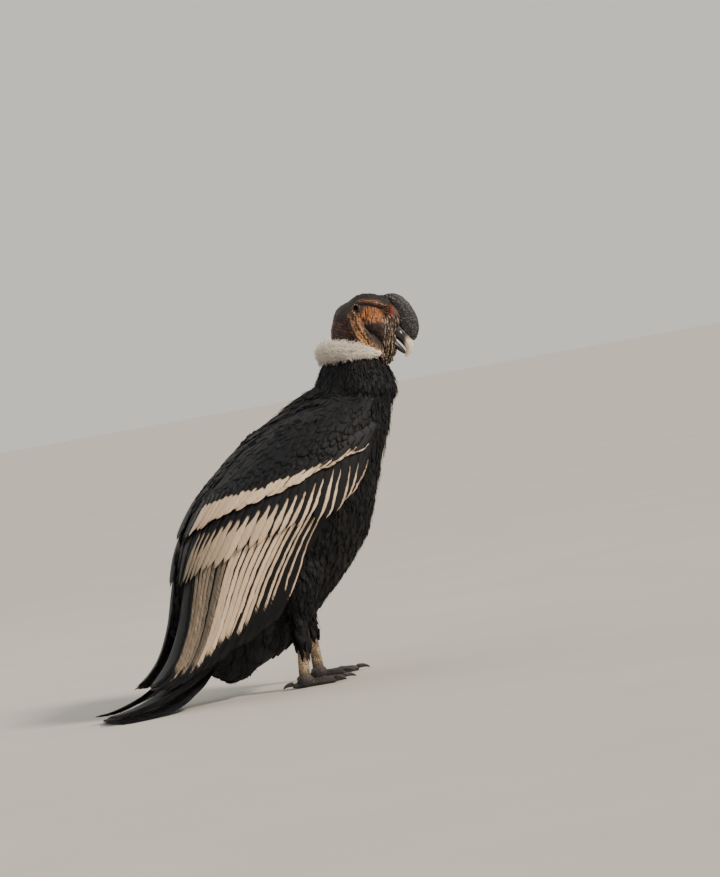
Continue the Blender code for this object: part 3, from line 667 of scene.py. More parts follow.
class Ground:
    """A skin that feathers are laid on: nearest points, its unwrap, and even scattering."""

    NEAREST = 0.72  # the least gap between roots, as a share of their spacing
    TRIES = 2.6  # roots drawn for each that could be kept

    def __init__(self, skin: Piece) -> None:
        """Reads a triangulated skin with an OFBake map.

        Args:
            skin: a triangulated skin with an OFBake map.
        """
        mesh = skin.data
        mesh.calc_loop_triangles()
        self.points = places_of(skin)
        self.triangles = read(mesh.loop_triangles, "vertices", 3, np.int32)
        loops = read(mesh.loop_triangles, "loops", 3, np.int32)
        self.uv = read(mesh.uv_layers["OFBake"].data, "uv", 2)[loops].mean(axis=1)
        self.tree = BVHTree.FromPolygons(self.points.tolist(), self.triangles.tolist())
        self.corners = self.points[self.triangles]
        self.centres = self.corners.mean(axis=1)

    def nearest(self, places: Array) -> tuple[Array, Array, Array]:
        """The skin's nearest points to some places, its normals and triangles there.

        Args:
            places: points, one row each.

        Returns:
            The points, the normals, and the number of each triangle.
        """
        flat = places.reshape(-1, 3)
        hit, out, index = np.empty_like(flat), np.empty_like(flat), np.empty(len(flat), dtype=int)
        for k, place in enumerate(flat):
            hit[k], out[k], index[k], _ = self.tree.find_nearest(Vector(place))
        return hit.reshape(places.shape), out.reshape(places.shape), index

    def scatter(self, draw: np.random.Generator, spacing: float, inside: Array) -> Array:
        """Roots spread evenly over part of the skin.

        Args:
            draw: the coat's random draw.
            spacing: how far apart the roots stand.
            inside: how much of each triangle belongs to the part.

        Returns:
            The roots' places.
        """
        corners = self.corners
        area = np.linalg.norm(
            np.cross(corners[:, 1] - corners[:, 0], corners[:, 2] - corners[:, 0]), axis=1
        ) / 2
        weight = area * inside / (spacing * spacing)
        chosen = draw.choice(len(area), size=int(weight.sum() * self.TRIES) + 8, p=weight / weight.sum())
        a, b = draw.uniform(0, 1, (2, len(chosen), 1))
        fold = a + b > 1
        a, b = np.where(fold, 1 - a, a), np.where(fold, 1 - b, b)
        c = corners[chosen]
        roots = c[:, 0] + (c[:, 1] - c[:, 0]) * a + (c[:, 2] - c[:, 0]) * b
        gap = cell = spacing * self.NEAREST
        kept: dict[tuple[int, ...], list[int]] = {}
        keep = []
        for k, root in enumerate(roots):
            home = tuple((root // cell).astype(int))
            near = [
                j
                for dx in (-1, 0, 1)
                for dy in (-1, 0, 1)
                for dz in (-1, 0, 1)
                for j in kept.get((home[0] + dx, home[1] + dy, home[2] + dz), ())
            ]
            if all(
                abs(roots[j] - root).max() >= gap or ((roots[j] - root) ** 2).sum() >= gap * gap for j in near
            ):
                kept.setdefault(home, []).append(k)
                keep.append(k)
        return roots[keep]


def over_skin(ground: Ground, roots: Array, flow: Array, length: Array, lifts: tuple[Array, Array],
              stations: Array, sway: Array) -> tuple[Array, Array, Array]:
    """Paths that run from their roots over a skin and rise off it.

    Args:
        ground: the skin.
        roots: where the feathers grow.
        flow: which way the coat lies at each root.
        length: each feather's length.
        lifts: how high roots and tips stand off the skin.
        stations: the blank's stations.
        sway: how far each tip turns aside, as a share of its length.

    Returns:
        The paths, their normals, and each root's place on the skin's unwrap.
    """
    start, out, index = ground.nearest(roots)
    ahead = unit(flow - out * np.sum(flow * out, axis=1, keepdims=True))
    aside = np.cross(ahead, out) * sway[:, None]
    share = stations[None, :, None]
    reach = length[:, None, None] * share
    path = start[:, None] + ahead[:, None] * reach + aside[:, None] * reach * share
    hit, normal, _ = ground.nearest(path)
    normal = unit(normal + out[:, None])
    low, high = lifts
    lift = low[:, None] + (high - low)[:, None] * stations[None, :] ** 1.3
    return hit + normal * lift[..., None], normal, ground.uv[index]


def flight_outline(share: Array) -> Array:
    """A flight feather: narrow at the root, parallel, and round at the tip."""
    return np.interp(share, (0, 0.25, 0.55, 0.86, 0.95, 0.985, 1), (0.45, 0.85, 1, 0.97, 0.78, 0.5, 0.1))


def covert_outline(share: Array) -> Array:
    """A covert: broad soon, with a blunt point."""
    return np.interp(share, (0, 0.3, 0.7, 0.86, 0.95, 1), (0.6, 0.95, 1, 0.74, 0.4, 0.06))


def body_outline(share: Array) -> Array:
    """A small body feather: broad in the middle and rounded."""
    return np.interp(share, (0, 0.35, 0.7, 0.9, 1), (0.5, 0.95, 1, 0.66, 0.12))


def strand_outline(share: Array) -> Array:
    """A loose strand: tapers all the way."""
    return np.interp(share, (0, 0.4, 1), (0.7, 1, 0.1))


@dataclass
class Wings:
    """The folded wings' feathers in tiers over the skin, the right one laid and the left mirrored."""

    @dataclass(frozen=True)
    class Tier:
        """One row of feathers; each pair holds the value at the wrist and at the elbow.

        tips is the line of the tips and cream_from the line where the pale colour starts, both as
        stations and angles in degrees; black_tip is how long the black tip is, web how much of the
        width from the front edge is pale, and shade how light the pale colour is, both spread evenly
        from wrist to elbow. shade below 1 is painted shade: it greys the pale towards the elbow, where the
        wing turns from the light, and darkens a streak between the front and rear secondaries. Feathers
        beyond the last field's share are black all over: painted shade along the back, where the far wing lies
        in shade.
        """

        count: int
        first: float
        last: float
        ahead: float
        widths: Pair
        rises: Pair
        falls: Pair
        tilts: Pair
        floor: float
        bend: float
        tips: tuple[Pair, ...]
        cream_from: tuple[Pair, ...]
        black_tip: float
        web: tuple[float, ...]
        shade: tuple[float, ...]
        pale_to: float

    seed: int
    map_cells: int = 12
    cell_fill: float = 0.9
    thickness: float = 0.0009
    edge: float = 0.10
    camber: float = 0.10
    hand_count: int = 8
    hand_root: float = 1.95
    hand_reach: Pair = (11.3, 1.2)
    hand_width: float = 0.038
    hand_lift: float = 0.003
    hand_floor: float = 0.0120
    median: Tier = Tier(
        26, 0.01, 0.99, -0.55, (0.030, 0.030), (0.0190, 0.0210), (0.0195, 0.0235), (7.0, 8.0), 0.03, 0.0,
        ((1.95, 92), (2.90, 75), (3.85, 60), (4.60, 43), (5.20, 25), (5.75, 8)),
        ((1.15, 110), (1.75, 90), (2.90, 66), (3.90, 45), (4.58, 16), (5.0, 0)), 0.0,
        (0.16, 0.22, 0.5, 1.2, 1.2, 1.2), (1, 1, 1, 0.97, 0.88, 0.80), 0.97,
    )
    greater: Tier = Tier(
        24, 0.01, 0.98, -0.30, (0.033, 0.034), (0.0130, 0.0145), (0.0135, 0.0185), (7.0, 9.0), 0.03, 0.0,
        ((2.95, 101), (3.95, 93), (4.50, 79), (5.30, 66), (6.20, 44), (6.75, 24), (6.90, 9)),
        ((1.9, 104), (2.75, 82), (3.55, 73), (4.35, 56), (5.2, 33), (5.75, 10)), 0.0,
        (0.12, 0.17, 0.27, 0.6, 0.8, 0.44, 0.36), (1, 1, 1, 0.97, 0.72, 0.42, 0.32), 0.93,
    )
    second: Tier = Tier(
        22, 0.0, 0.97, -0.25, (0.036, 0.040), (0.0070, 0.0085), (0.0025, 0.0175), (7.0, 11.0), 0.024, 13.0,
        ((6.75, 100), (7.70, 94), (8.60, 86), (9.40, 74), (10.2, 62), (10.5, 48), (10.2, 34)),
        ((0, 180), (0, 0)), 0.080,
        (0.08, 0.12, 0.18, 0.23, 0.26, 0.27, 0.22, 0.24, 0.24, 0.20),
        # painted shade: the dark streak between the front and rear secondaries, then the greyer rear ones
        (
            1, 1, 1, 1, 1, 1, 1, 1, 1, 1, 1, 0.95, 0.85, 0.15, 0.06, 0.12, 0.32, 0.26, 0.24, 0.20, 0.18, 0.15
        ), 0.92,
    )

    def __post_init__(self) -> None:
        """Models the blanks."""
        self.coat = Coat(self.seed)
        self.long = Blank(spaced(34), (-1, -0.6, -0.2, 0, 0.2, 0.6, 1), self.thickness)
        self.short = Blank(spaced(16), (-1, -0.5, 0, 0.5, 1), self.thickness)
        self.cell = 0

    def cells(self, count: int) -> Array:
        """The next free cells of the wing's own bake map, one a feather.

        Args:
            count: how many feathers.

        Returns:
            The low corner of each cell, from 0 to 1.
        """
        number = np.arange(self.cell, self.cell + count)
        self.cell += count
        return np.stack([number % self.map_cells, number // self.map_cells], axis=1) / self.map_cells

    def tier(self, tier: "Wings.Tier", blank: Blank, outline: Callable[[Array], Array]) -> None:
        """Lays one row of feathers.

        Args:
            tier: the row's sizes.
            blank: the feather modelled once.
            outline: its outline.
        """
        draw, share = self.coat.draw, np.linspace(0, 1, tier.count)
        along = tier.first + (tier.last - tier.first) * share
        root_t, root_angle = WING_ROOTS.station(along) + tier.ahead, WING_ROOTS.angle(along)
        tips = np.array(tier.tips)
        jitter = draw.uniform(-1, 1, (3, tier.count))
        tip_t = evenly(share, tips[:, 0]) + 0.07 * jitter[0]
        tip_angle = np.radians(evenly(share, tips[:, 1]) + 0.8 * jitter[1])
        k = blank.stations[None, :]
        bow = np.radians(tier.bend) * (1 - share)[:, None] * np.sin(math.pi * k)
        angle = root_angle[:, None] + (tip_angle - root_angle)[:, None] * k - bow
        station = root_t[:, None] + (tip_t - root_t)[:, None] * k
        rise, fall = (evenly(share, pair)[:, None] for pair in (tier.rises, tier.falls))
        lift = rise + (fall - rise) * k + 0.0012 * jitter[2][:, None] * k
        middle, normal = WING_SURFACE.lifted(station, angle, lift)
        middle[..., 2] = np.maximum(middle[..., 2], tier.floor + 0.012 * share[:, None])
        length = np.linalg.norm(np.diff(middle, axis=1), axis=-1).sum(axis=1)
        line = np.array(tier.cream_from)[::-1]
        begins = np.interp(np.degrees(angle), line[:, 1], line[:, 0])
        start = (station < begins).mean(axis=1) + 0.03 * draw.uniform(-1, 1, tier.count)
        start = np.where(begins.max(axis=1) <= 0, -1.0, start)
        end = 1.2
        if tier.black_tip:
            end = 1 - tier.black_tip * draw.uniform(0.85, 1.25, tier.count) / length
        # painted shade: the rearmost feathers are black all over
        start = np.where(share > tier.pale_to, 2.0, start)
        web = evenly(share, tier.web) * draw.uniform(0.88, 1.14, tier.count)
        # painted shade: below 1 greys the pale
        shade = evenly(share, tier.shade) * draw.uniform(0.88, 1.0, tier.count)
        mark = np.stack([start, end * np.ones(tier.count), web, shade], axis=1)
        widths = evenly(share, tier.widths) * draw.uniform(0.94, 1.06, tier.count)
        tilts = np.radians(evenly(share, tier.tilts))
        lay = Lay(middle, normal, widths, tilts, self.camber, mark, 0.0, self.edge)
        self.coat.lay(blank, outline, lay, self.cells(tier.count), self.cell_fill / self.map_cells)

    def primaries(self) -> None:
        """Lays the long black feathers of the hand, under the rest."""
        count = self.hand_count
        share = np.linspace(0, 1, count)
        k = self.long.stations[None, :]
        tip_t = self.hand_reach[0] + self.hand_reach[1] * np.sin(math.pi * (0.05 + 0.6 * share))
        root_angle, tip_angle = np.radians(92 - 4 * share), np.radians(70 - 30 * share)
        angle = root_angle[:, None] + (tip_angle - root_angle)[:, None] * k**2.2
        low = (-0.0115 + 0.0075 * share)[:, None]
        lift = self.hand_lift + (low - self.hand_lift) * np.minimum(1, k * 3)
        station = self.hand_root + (tip_t[:, None] - self.hand_root) * k
        middle, normal = WING_SURFACE.lifted(station, angle, lift)
        middle[..., 2] = np.maximum(middle[..., 2], self.hand_floor + 0.0011 * np.arange(count)[:, None])
        level = np.clip((k - 0.6) / 0.35, 0, 1)[..., None]
        normal = unit(normal * (1 - level) + np.array([0, -0.15, 1]) * level)
        lay = Lay(middle, normal, self.hand_width, math.radians(2), 0.06, ALL_BLACK, 0.0, 0.06)
        self.coat.lay(self.long, flight_outline, lay, self.cells(count), self.cell_fill / self.map_cells)

    def build(self, material: Material) -> None:
        """Lays all tiers of the right wing and mirrors them.

        Args:
            material: their finish.
        """
        self.primaries()
        self.tier(self.second, self.long, flight_outline)
        self.tier(self.greater, self.short, covert_outline)
        self.tier(self.median, self.short, covert_outline)
        finished(self.coat.make(), "wing_feathers_right", material, ["wing_right"])
        finished(self.coat.mirrored().make(), "wing_feathers_left", material, ["wing_left"])


@dataclass
class Tail:
    """Twelve broad black tail feathers, the middle pair uppermost; line is their middle, as x and z."""

    line: tuple[Pair, ...] = (
        (-0.165, 0.112), (-0.210, 0.078), (-0.255, 0.044), (-0.302, 0.0175),
        (-0.350, 0.0035), (-0.405, 0.0008), (-0.462, 0.0008),
    )
    count: int = 12
    layer: float = 0.00095
    width: float = 0.050
    thickness: float = 0.0007
    fan: Pair = (0.0035, 0.0095)

    def build(self, material: Material) -> None:
        """Lays the fan.

        Args:
            material: their finish.
        """
        coat = Coat(7)
        blank = Blank(spaced(30), (-1, -0.6, -0.2, 0, 0.2, 0.6, 1), self.thickness)
        number = np.arange(self.count)
        side, rank = np.where(number % 2, -1.0, 1.0), (number // 2).astype(float)
        k = blank.stations
        where = (len(self.line) - 1) * (0.10 + 0.90 * k)[None, :] - 0.06 * rank[:, None] * k[None, :]
        line = np.array(self.line)
        at = np.arange(len(line))
        x, z = np.interp(where, at, line[:, 0]), np.interp(where, at, line[:, 1])
        y = side[:, None] * (rank[:, None] + 0.5) * (self.fan[0] + self.fan[1] * k[None, :])
        z = z + ((self.count - 1 - number) * self.layer)[:, None]
        middle = np.stack([x, y, z], axis=-1) + np.array(SHIFT)
        normal = np.tile([0.25, 0, 1.0], (self.count, len(k), 1))
        lay = Lay(middle, normal, self.width, 0.0, 0.03, ALL_BLACK, 0.0, 0.05)
        spots = np.stack([number % 4, number // 4], axis=1) / 4
        coat.lay(blank, flight_outline, lay, spots, 0.22)
        piece = coat.make()
        above_floor(piece)
        finished(piece, "tail_feathers", material, ["tail"])


@dataclass
class HeadMap:
    """Where the head's features are, in millimetres in the head's own frame, alike on both sides."""

    places: Array
    eye: Pair = (41.0, 19.0)
    ear: Pair = (-24.5, 20.5)
    brow: tuple[Pair, ...] = ((-19, 36), (-4, 37), (14, 34), (30, 29), (40, 27))
    fold: tuple[Pair, ...] = ((-30, 2), (-27, -14), (-15, -36), (0, -56), (17, -78), (32, -99), (38, -110))
    wattle: tuple[Pair, ...] = ((50, 10), (52, -18), (52, -42), (49, -64), (45, -82), (42, -98))

    def __post_init__(self) -> None:
        """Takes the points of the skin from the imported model's frame to the head's own."""
        local = (self.places - np.array(SHIFT) - np.array(HEAD_PLACE)) @ np.array(HEAD_TURN)
        self.x, self.y, self.z = (local / MM).T
        self.aside = np.abs(self.y)
        self.side = ease(6, 14, self.aside)
        self.points = local / MM

    def rough(self, size: float, seed: float = 0.0) -> Array:
        """Smooth noise from -1 to 1 whose lumps are about the given size."""
        offset = Vector((seed, 2 * seed, 3 * seed))
        return np.array([noise.noise(Vector(p) / size + offset) for p in self.points])

    def streaks(self, across: float, along: float, upright: bool = True, seed: float = 0.0) -> Array:
        """Noise from -1 to 1 drawn out into streaks, up and down the head or fore and aft.

        Args:
            across: how wide a streak is, in millimetres.
            along: how long it is.
            upright: whether it runs up and down.
            seed: what sets this draw apart from the others.

        Returns:
            One value a point.
        """
        size = (across, across, along) if upright else (along, across, across)
        offset = Vector((seed, seed, seed))
        return np.array([noise.noise(Vector(p) + offset) for p in self.points / np.array(size)])

    def spot(self, centre: Pair, radii: Pair, soft: float = 0.5) -> Array:
        """An oval patch in the side view, 1 inside and fading past its edge."""
        away = np.hypot((self.x - centre[0]) / radii[0], (self.z - centre[1]) / radii[1])
        return (1 - ease(1 - soft / 2, 1 + soft / 2, away)) * self.side

    def stroke(self, line: tuple[Pair, ...]) -> tuple[Array, Array]:
        """Distance across and length along a line drawn in the side view.

        Args:
            line: its corners, as x and z in millimetres.

        Returns:
            The distance, whose sign tells the side, and the length, in millimetres.
        """
        best, length, run = np.full(len(self.x), 1e9), np.zeros(len(self.x)), 0.0
        for (ax, az), (bx, bz) in zip(line, line[1:]):
            dx, dz = bx - ax, bz - az
            size = math.hypot(dx, dz)
            share = np.clip(((self.x - ax) * dx + (self.z - az) * dz) / size**2, 0, 1)
            offx, offz = self.x - ax - dx * share, self.z - az - dz * share
            away = np.hypot(offx, offz) * np.sign(offx * dz - offz * dx + 1e-9)
            closer = np.abs(away) < np.abs(best)
            best, length = np.where(closer, away, best), np.where(closer, run + share * size, length)
            run += size
        return best, length

    def masks(self) -> dict[str, Array]:
        """How far each point belongs to each named zone.

        Returns:
            One array of shares from 0 to 1 for each zone.
        """
        fold, _ = self.stroke(self.fold)
        wattle, _ = self.stroke(self.wattle)
        brow, _ = self.stroke(self.brow)
        low = ease(-8, -20, self.z)
        crown = ease(37, 42, self.z) * ease(-40, -20, self.x)
        return {
            "fold": (1 - ease(10, 15, np.abs(fold))) * ease(16, 24, self.aside + 8 * low),
            "wattle": (1 - ease(13, 23, np.abs(wattle))) * ease(12, -2, self.z),
            "brow": (1 - ease(3.5, 7, np.abs(brow))) * self.side,
            "cheek": self.spot((10, 5), (29, 18), 0.6),
            "dark": self.spot((12, -31), (19, 24), 0.7),
            "red": self.spot((52, 14), (7, 15), 0.8),
            "ear": self.spot(self.ear, (3.7, 4.2), 0.5),
            "crown": crown + ease(22, 34, self.x) * ease(27, 33, self.z),
            "nape": ease(-22, -34, self.x) * ease(12, -8, self.z),
            "eye": self.spot(self.eye, (11, 11), 0.4),
        }

    def parts(self) -> dict[str, Array]:
        """How far each kind of fold, bead and wrinkle stands out, in millimetres.

        Returns:
            One array for each kind.
        """
        m = self.masks()
        x, z = self.x, self.z
        broad, fine, tiny = self.rough(9), self.rough(3.2, 5), self.rough(1.9, 9)
        brow, brow_run = self.stroke(self.brow)
        fold, fold_run = self.stroke(self.fold)
        wattle, wattle_run = self.stroke(self.wattle)
        far = np.hypot(x - self.ear[0], z - self.ear[1])
        turn = np.arctan2(z - self.ear[1], x - self.ear[0])
        ring = np.hypot(x - self.eye[0], z - self.eye[1])
        beads = bell(far - 9.0, 1.9) * (0.5 + 0.5 * np.cos(turn * 10))
        row = bell(x + 28 - 0.1 * z, 2.4) * (0.5 + 0.5 * np.cos(z * math.tau / 5.2))
        row = row * ease(-24, -18, z) * ease(18, 12, z)
        across = z + 0.22 * x + 3.0 * broad
        lines = bell(across / 6.5 - np.round(across / 6.5), 0.17) * np.clip(0.65 + 1.6 * broad, 0, 1)
        return {
            "brow": bell(brow, 4.6) * self.side * (0.7 + 3.0 * self.streaks(2.0, 12, False, 3)),
            "groove": -1.9 * bell(brow - 7.5, 2.6) * self.side * ease(40, 30, x) * ease(-22, -8, x),
            "cheek": m["cheek"] * (2.6 * self.streaks(2.5, 13) + 0.4 * fine),
            "crown": m["crown"] * (1.4 * self.streaks(3.2, 10, False, 5) + 0.3 * fine) * ease(34, 40, z),
            "nape": 1.3 * m["nape"] * lines,
            "fold": m["fold"] * (
                0.9 * np.cos((fold + 2 * broad) * math.tau / 7.0) + 1.9 * self.streaks(2.6, 10, True, 7)
                + 0.8 * fine + 0.4 * np.sin(fold_run * math.tau / 6 + 5 * broad)
            ),
            "wattle": m["wattle"] * (
                0.7 * np.sin((wattle + 3.0 * broad) * math.tau / 5.6) + 2.2 * self.streaks(2.4, 14, True, 9)
                + 0.3 * np.sin(wattle_run * math.tau / 3.6 + 6 * fine)
            ),
            "red": m["red"] * 0.5 * np.sin((z + x) * math.tau / 3.5),
            "beads": 1.2 * (beads * np.clip(0.8 + 1.5 * broad, 0.1, 1) + row) * self.side,
            "ear": -3.0 * m["ear"],
            "lids": (0.45 * np.sin(ring * math.tau / 3.0) * ease(9.5, 11, ring) * ease(19, 14, ring)
                     + 0.8 * bell(ring - 8.8, 1.2)) * self.side,
            "grain": 0.28 * fine + 0.22 * tiny + 0.35 * broad,
        }

    def height(self) -> Array:
        """How far the skin stands out in all, in millimetres."""
        return sum(self.parts().values())

    def zones(self) -> tuple[Array, Array]:
        """Two sets of four masks that the bare skin's finish reads.

        Returns:
            Two arrays of points by 4.
        """
        m, p = self.masks(), self.parts()
        # How far each point stands out, weighted; the finish paints highlights where it is high and shade in
        # the creases where it is low.
        lit_ridge = 1.7 * p["cheek"] + 1.2 * p["fold"] + 2.4 * p["wattle"] + 1.3 * p["beads"] + 1.3 * p["brow"]
        lit_ridge = lit_ridge + 0.2 * p["nape"] + 0.7 * p["crown"] + 0.6 * p["grain"] + p["groove"] + p["ear"]
        relief = np.clip(0.5 + lit_ridge / 4.0, 0, 1)
        first = np.stack([m["cheek"], m["fold"], m["wattle"], m["brow"]], axis=1)
        rear = 0.85 * ease(-12, -30, self.x) * ease(-75, -50, self.z)
        around = 0.9 * self.spot(self.ear, (13, 13), 0.8)
        broken = np.clip(0.85 + 1.7 * self.streaks(2.8, 13, True, 13), 0.15, 1.25)
        # The spot on the lower cheek and throat is painted shade under the cheek, and the ear hole's darkening
        # is painted shade in the hole; the crown's dark is the skin's own.
        dark = np.clip(m["dark"] * broken + m["crown"] + m["ear"] * 2 + rear + around + 0.5 * m["eye"], 0, 1)
        dark = dark * (1 - 0.8 * np.clip(p["beads"], 0, 1))
        dark = np.clip(dark, 0, 1 - 0.8 * np.clip(p["nape"], 0, 1))
        rosy = m["nape"] * np.clip(0.10 + p["nape"], 0, 1)
        second = np.stack([dark, m["red"], rosy, relief], axis=1)
        return first, second


@dataclass
class Skin:
    """One skin over head, neck, trunk, folded arms and legs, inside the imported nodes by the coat's depth."""

    body_nodes: tuple[str, ...] = ("torso", "neck", "thigh_left", "thigh_right")
    head_nodes: tuple[str, ...] = ("head", "bare_neck", "fold_left", "fold_right", "wattle")
    leg_nodes: tuple[str, ...] = ("shank_left", "shank_right", "foot_left", "foot_right")
    coat_depth: float = 0.0045
    most_faces: int = 192000
    arm_grid: tuple[int, int] = (14, 26)
    arm_top: float = 0.05
    arm_thickness: float = 0.0245
    arm_wall: float = 0.022
    saddle_grid: tuple[int, int] = (24, 8)
    saddle_reach: float = 8.2
    saddle_wall: float = 0.030
    scale_rows: Pair = (0.0052, 0.0048)
    foot_top: float = 0.03

    def arm(self, side: Side) -> Piece:
        """A folded arm: a slab over the flank that the wing's small feathers grow from.

        Args:
            side: which side.

        Returns:
            A closed slab.
        """
        steps, columns = self.arm_grid
        deselect()
        bpy.ops.mesh.primitive_grid_add(x_subdivisions=steps - 1, y_subdivisions=columns - 1, size=1)
        piece = bpy.context.active_object
        grid = places_of(piece)
        down, share = grid[:, 0] + 0.5, grid[:, 1] + 0.5
        low, angle = WING_ROOTS.station(share), WING_ROOTS.angle(share)
        bulk = np.minimum(1, 0.22 + 1.6 * down) * np.minimum(1, 0.35 + 4.5 * share)
        lift = 0.0012 + self.arm_thickness * bulk - 0.006
        station = self.arm_top + (low - self.arm_top) * down
        places, _ = WING_SURFACE.lifted(station, angle, lift)
        places[:, 1] *= -side
        set_places(piece, places)
        edit_all(piece, bpy.ops.mesh.normals_make_consistent, inside=False)
        middle = places.mean(axis=0)
        outward = float((normals_of(piece)[:, 1] * side).mean()) > 0 and middle[1] * side > 0
        apply(piece, "SOLIDIFY", thickness=self.arm_wall, offset=-1.0 if outward else 1.0)
        return piece

    def saddle(self) -> Piece:
        """The mantle: fills the groove down the back between the folded arms.

        Returns:
            A closed slab.
        """
        deselect()
        bpy.ops.mesh.primitive_grid_add(
            x_subdivisions=self.saddle_grid[0], y_subdivisions=self.saddle_grid[1], size=1
        )
        piece = bpy.context.active_object
        grid = places_of(piece)
        down, turn = grid[:, 0] + 0.5, grid[:, 1] * 2
        lift = 0.019 - 0.011 * ease(0.55, 1.0, down) - 0.004 * turn**2
        width = math.radians(9.5) * (1 - 0.35 * ease(0.55, 1.0, down))
        places, _ = WING_SURFACE.lifted(0.02 + self.saddle_reach * down, turn * width, lift)
        set_places(piece, places)
        apply(
            piece, "SOLIDIFY", thickness=self.saddle_wall,
            offset=-1.0 if normals_of(piece)[:, 0].mean() < 0 else 1.0
        )
        return piece

    def plug(self, place: Vector, radius: float, depth: float) -> Piece:
        """A short core that joins two lengths of skin where feathers hide the joint.

        Args:
            place: its middle.
            radius: its radius.
            depth: its length.

        Returns:
            A closed cylinder.
        """
        deselect()
        bpy.ops.mesh.primitive_cylinder_add(vertices=24, radius=radius, depth=depth, location=place)
        piece = bpy.context.active_object
        bpy.ops.object.transform_apply(location=True)
        return piece

    def grown(self, pieces: list[Piece], swell: float, voxel: float, smooth: int, shrink: float) -> Piece:
        """Joins pieces into one smooth closed skin.

        Args:
            pieces: closed shapes that touch or overlap.
            swell: how far they grow first, so that the gaps between them close.
            voxel: the skin's grain.
            smooth: rounds of smoothing.
            shrink: how far the skin draws back at the end.

        Returns:
            The skin.
        """
        skin = joined(pieces)
        apply(skin, "DISPLACE", strength=swell, mid_level=0.0)
        apply(skin, "REMESH", mode="VOXEL", voxel_size=voxel, adaptivity=0.0)
        apply(skin, "SMOOTH", factor=0.5, iterations=smooth)
        if shrink:
            apply(skin, "DISPLACE", strength=-shrink, mid_level=0.0)
        return skin

    def head(self) -> Piece:
        """The bare head and neck, with folds, beads and wrinkles raised in the skin.

        Returns:
            The skin of head and neck.
        """
        low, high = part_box("bare_neck")
        place = Vector(((low[0] + high[0]) / 2, (low[1] + high[1]) / 2, low[2] + 0.008))
        skin = self.grown(
            [twin_of(*self.head_nodes), self.plug(place, 0.034, 0.056)], 0.0005, 0.0011, 5, 0.0006
        )
        places = places_of(skin)
        set_places(skin, places + normals_of(skin) * HeadMap(places).height()[:, None] * MM)
        return skin

    def legs(self) -> Piece:
        """Scaled shanks and toes.

        Returns:
            The skin of both legs.
        """
        plugs = []
        for side in ("left", "right"):
            low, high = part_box(f"shank_{side}")
            top = Vector(((low[0] + high[0]) / 2, (low[1] + high[1]) / 2, high[2]))
            plugs.append(self.plug(top, 0.008, 0.034))
        skin = self.grown([twin_of(*self.leg_nodes), *plugs], 0.0003, 0.0014, 3, 0.0002)
        places, normals = places_of(skin), normals_of(skin)
        top = places[:, 2] > 0.024
        around = np.arctan2(normals[:, 1], normals[:, 0])
        shank = 0.45 * np.cos(places[:, 2] * math.tau / self.scale_rows[0]) * np.cos(around * 3)
        heel = places[:, 0] - np.where(
            places[:, 1] > 0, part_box("shank_left")[0][0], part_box("shank_right")[0][0]
        )
        toe = 0.5 * np.cos(heel * math.tau / self.scale_rows[1]) * np.clip(normals[:, 2], 0, 1)
        places += normals * (np.where(top, shank, toe) * MM)[:, None]
        places[:, 2] = np.maximum(places[:, 2], 0.0)
        set_places(skin, places)
        return skin

    @staticmethod
    def hangs(places: Array) -> Array:
        """Which places belong to the bare folds and wattle that hang over the neck.

        Args:
            places: points, one row each.

        Returns:
            True or false for each place.
        """
        names = ("fold_left", "fold_right", "wattle")
        points = [v.co.copy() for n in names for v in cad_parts[n].data.vertices]
        tree = tree_of(points)
        low = places[:, 2] > min(p.z for p in points) - 0.006
        return np.array([bool(ok) and tree.find(Vector(p))[2] < 0.007 for ok, p in zip(low, places)])

    def build(self, plumage: Material, bare: Material, scales: Material) -> Piece:
        """Unites the lengths of skin, unwraps it and writes its markings.

        Args:
            plumage: the finish under feathers.
            bare: the finish of head and neck.
            scales: the finish of shanks and feet.

        Returns:
            The finished skin.
        """
        body = self.grown(
            [twin_of(*self.body_nodes), self.arm(Side.RIGHT), self.arm(Side.LEFT), self.saddle()], 0.001,
            0.006, 6, 0.001 + self.coat_depth
        )
        for part in (self.head(), self.legs()):
            apply(body, "BOOLEAN", operation="UNION", object=part, solver="MANIFOLD")
            bpy.data.objects.remove(part)
        apply(body, "TRIANGULATE")
        apply(body, "DECIMATE", ratio=min(1.0, self.most_faces / len(body.data.polygons)))
        above_floor(body)
        unwrap(body)
        places = places_of(body)
        first, second = HeadMap(places).zones()
        write_colour(body.data, "ZoneA", first)
        write_colour(body.data, "ZoneB", second)
        body.data.materials.clear()
        for material in (plumage, bare, scales):
            body.data.materials.append(material)
        centre = read(body.data.polygons, "center", 3)
        above = (centre - np.array(SHIFT + RUFF_MIDDLE)) @ np.array(RUFF_AXIS) > -0.004
        kind = np.where(above | self.hangs(centre), 1, 0)
        for side in ("left", "right"):
            shank = (centre[:, 2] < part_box(f"shank_{side}")[1][2] + 0.004) & (centre[:, 2] > self.foot_top)
            shank &= within(centre, f"shank_{side}", 0.006, 2)
            foot = (centre[:, 2] <= self.foot_top) & within(centre, f"foot_{side}", 0.004, 2)
            kind[shank | foot] = 2
        body.data.polygons.foreach_set("material_index", kind.astype(np.int32))
        replaced = (*self.body_nodes, *self.head_nodes, *self.leg_nodes)
        return finished(body, "skin", plumage, replaced)


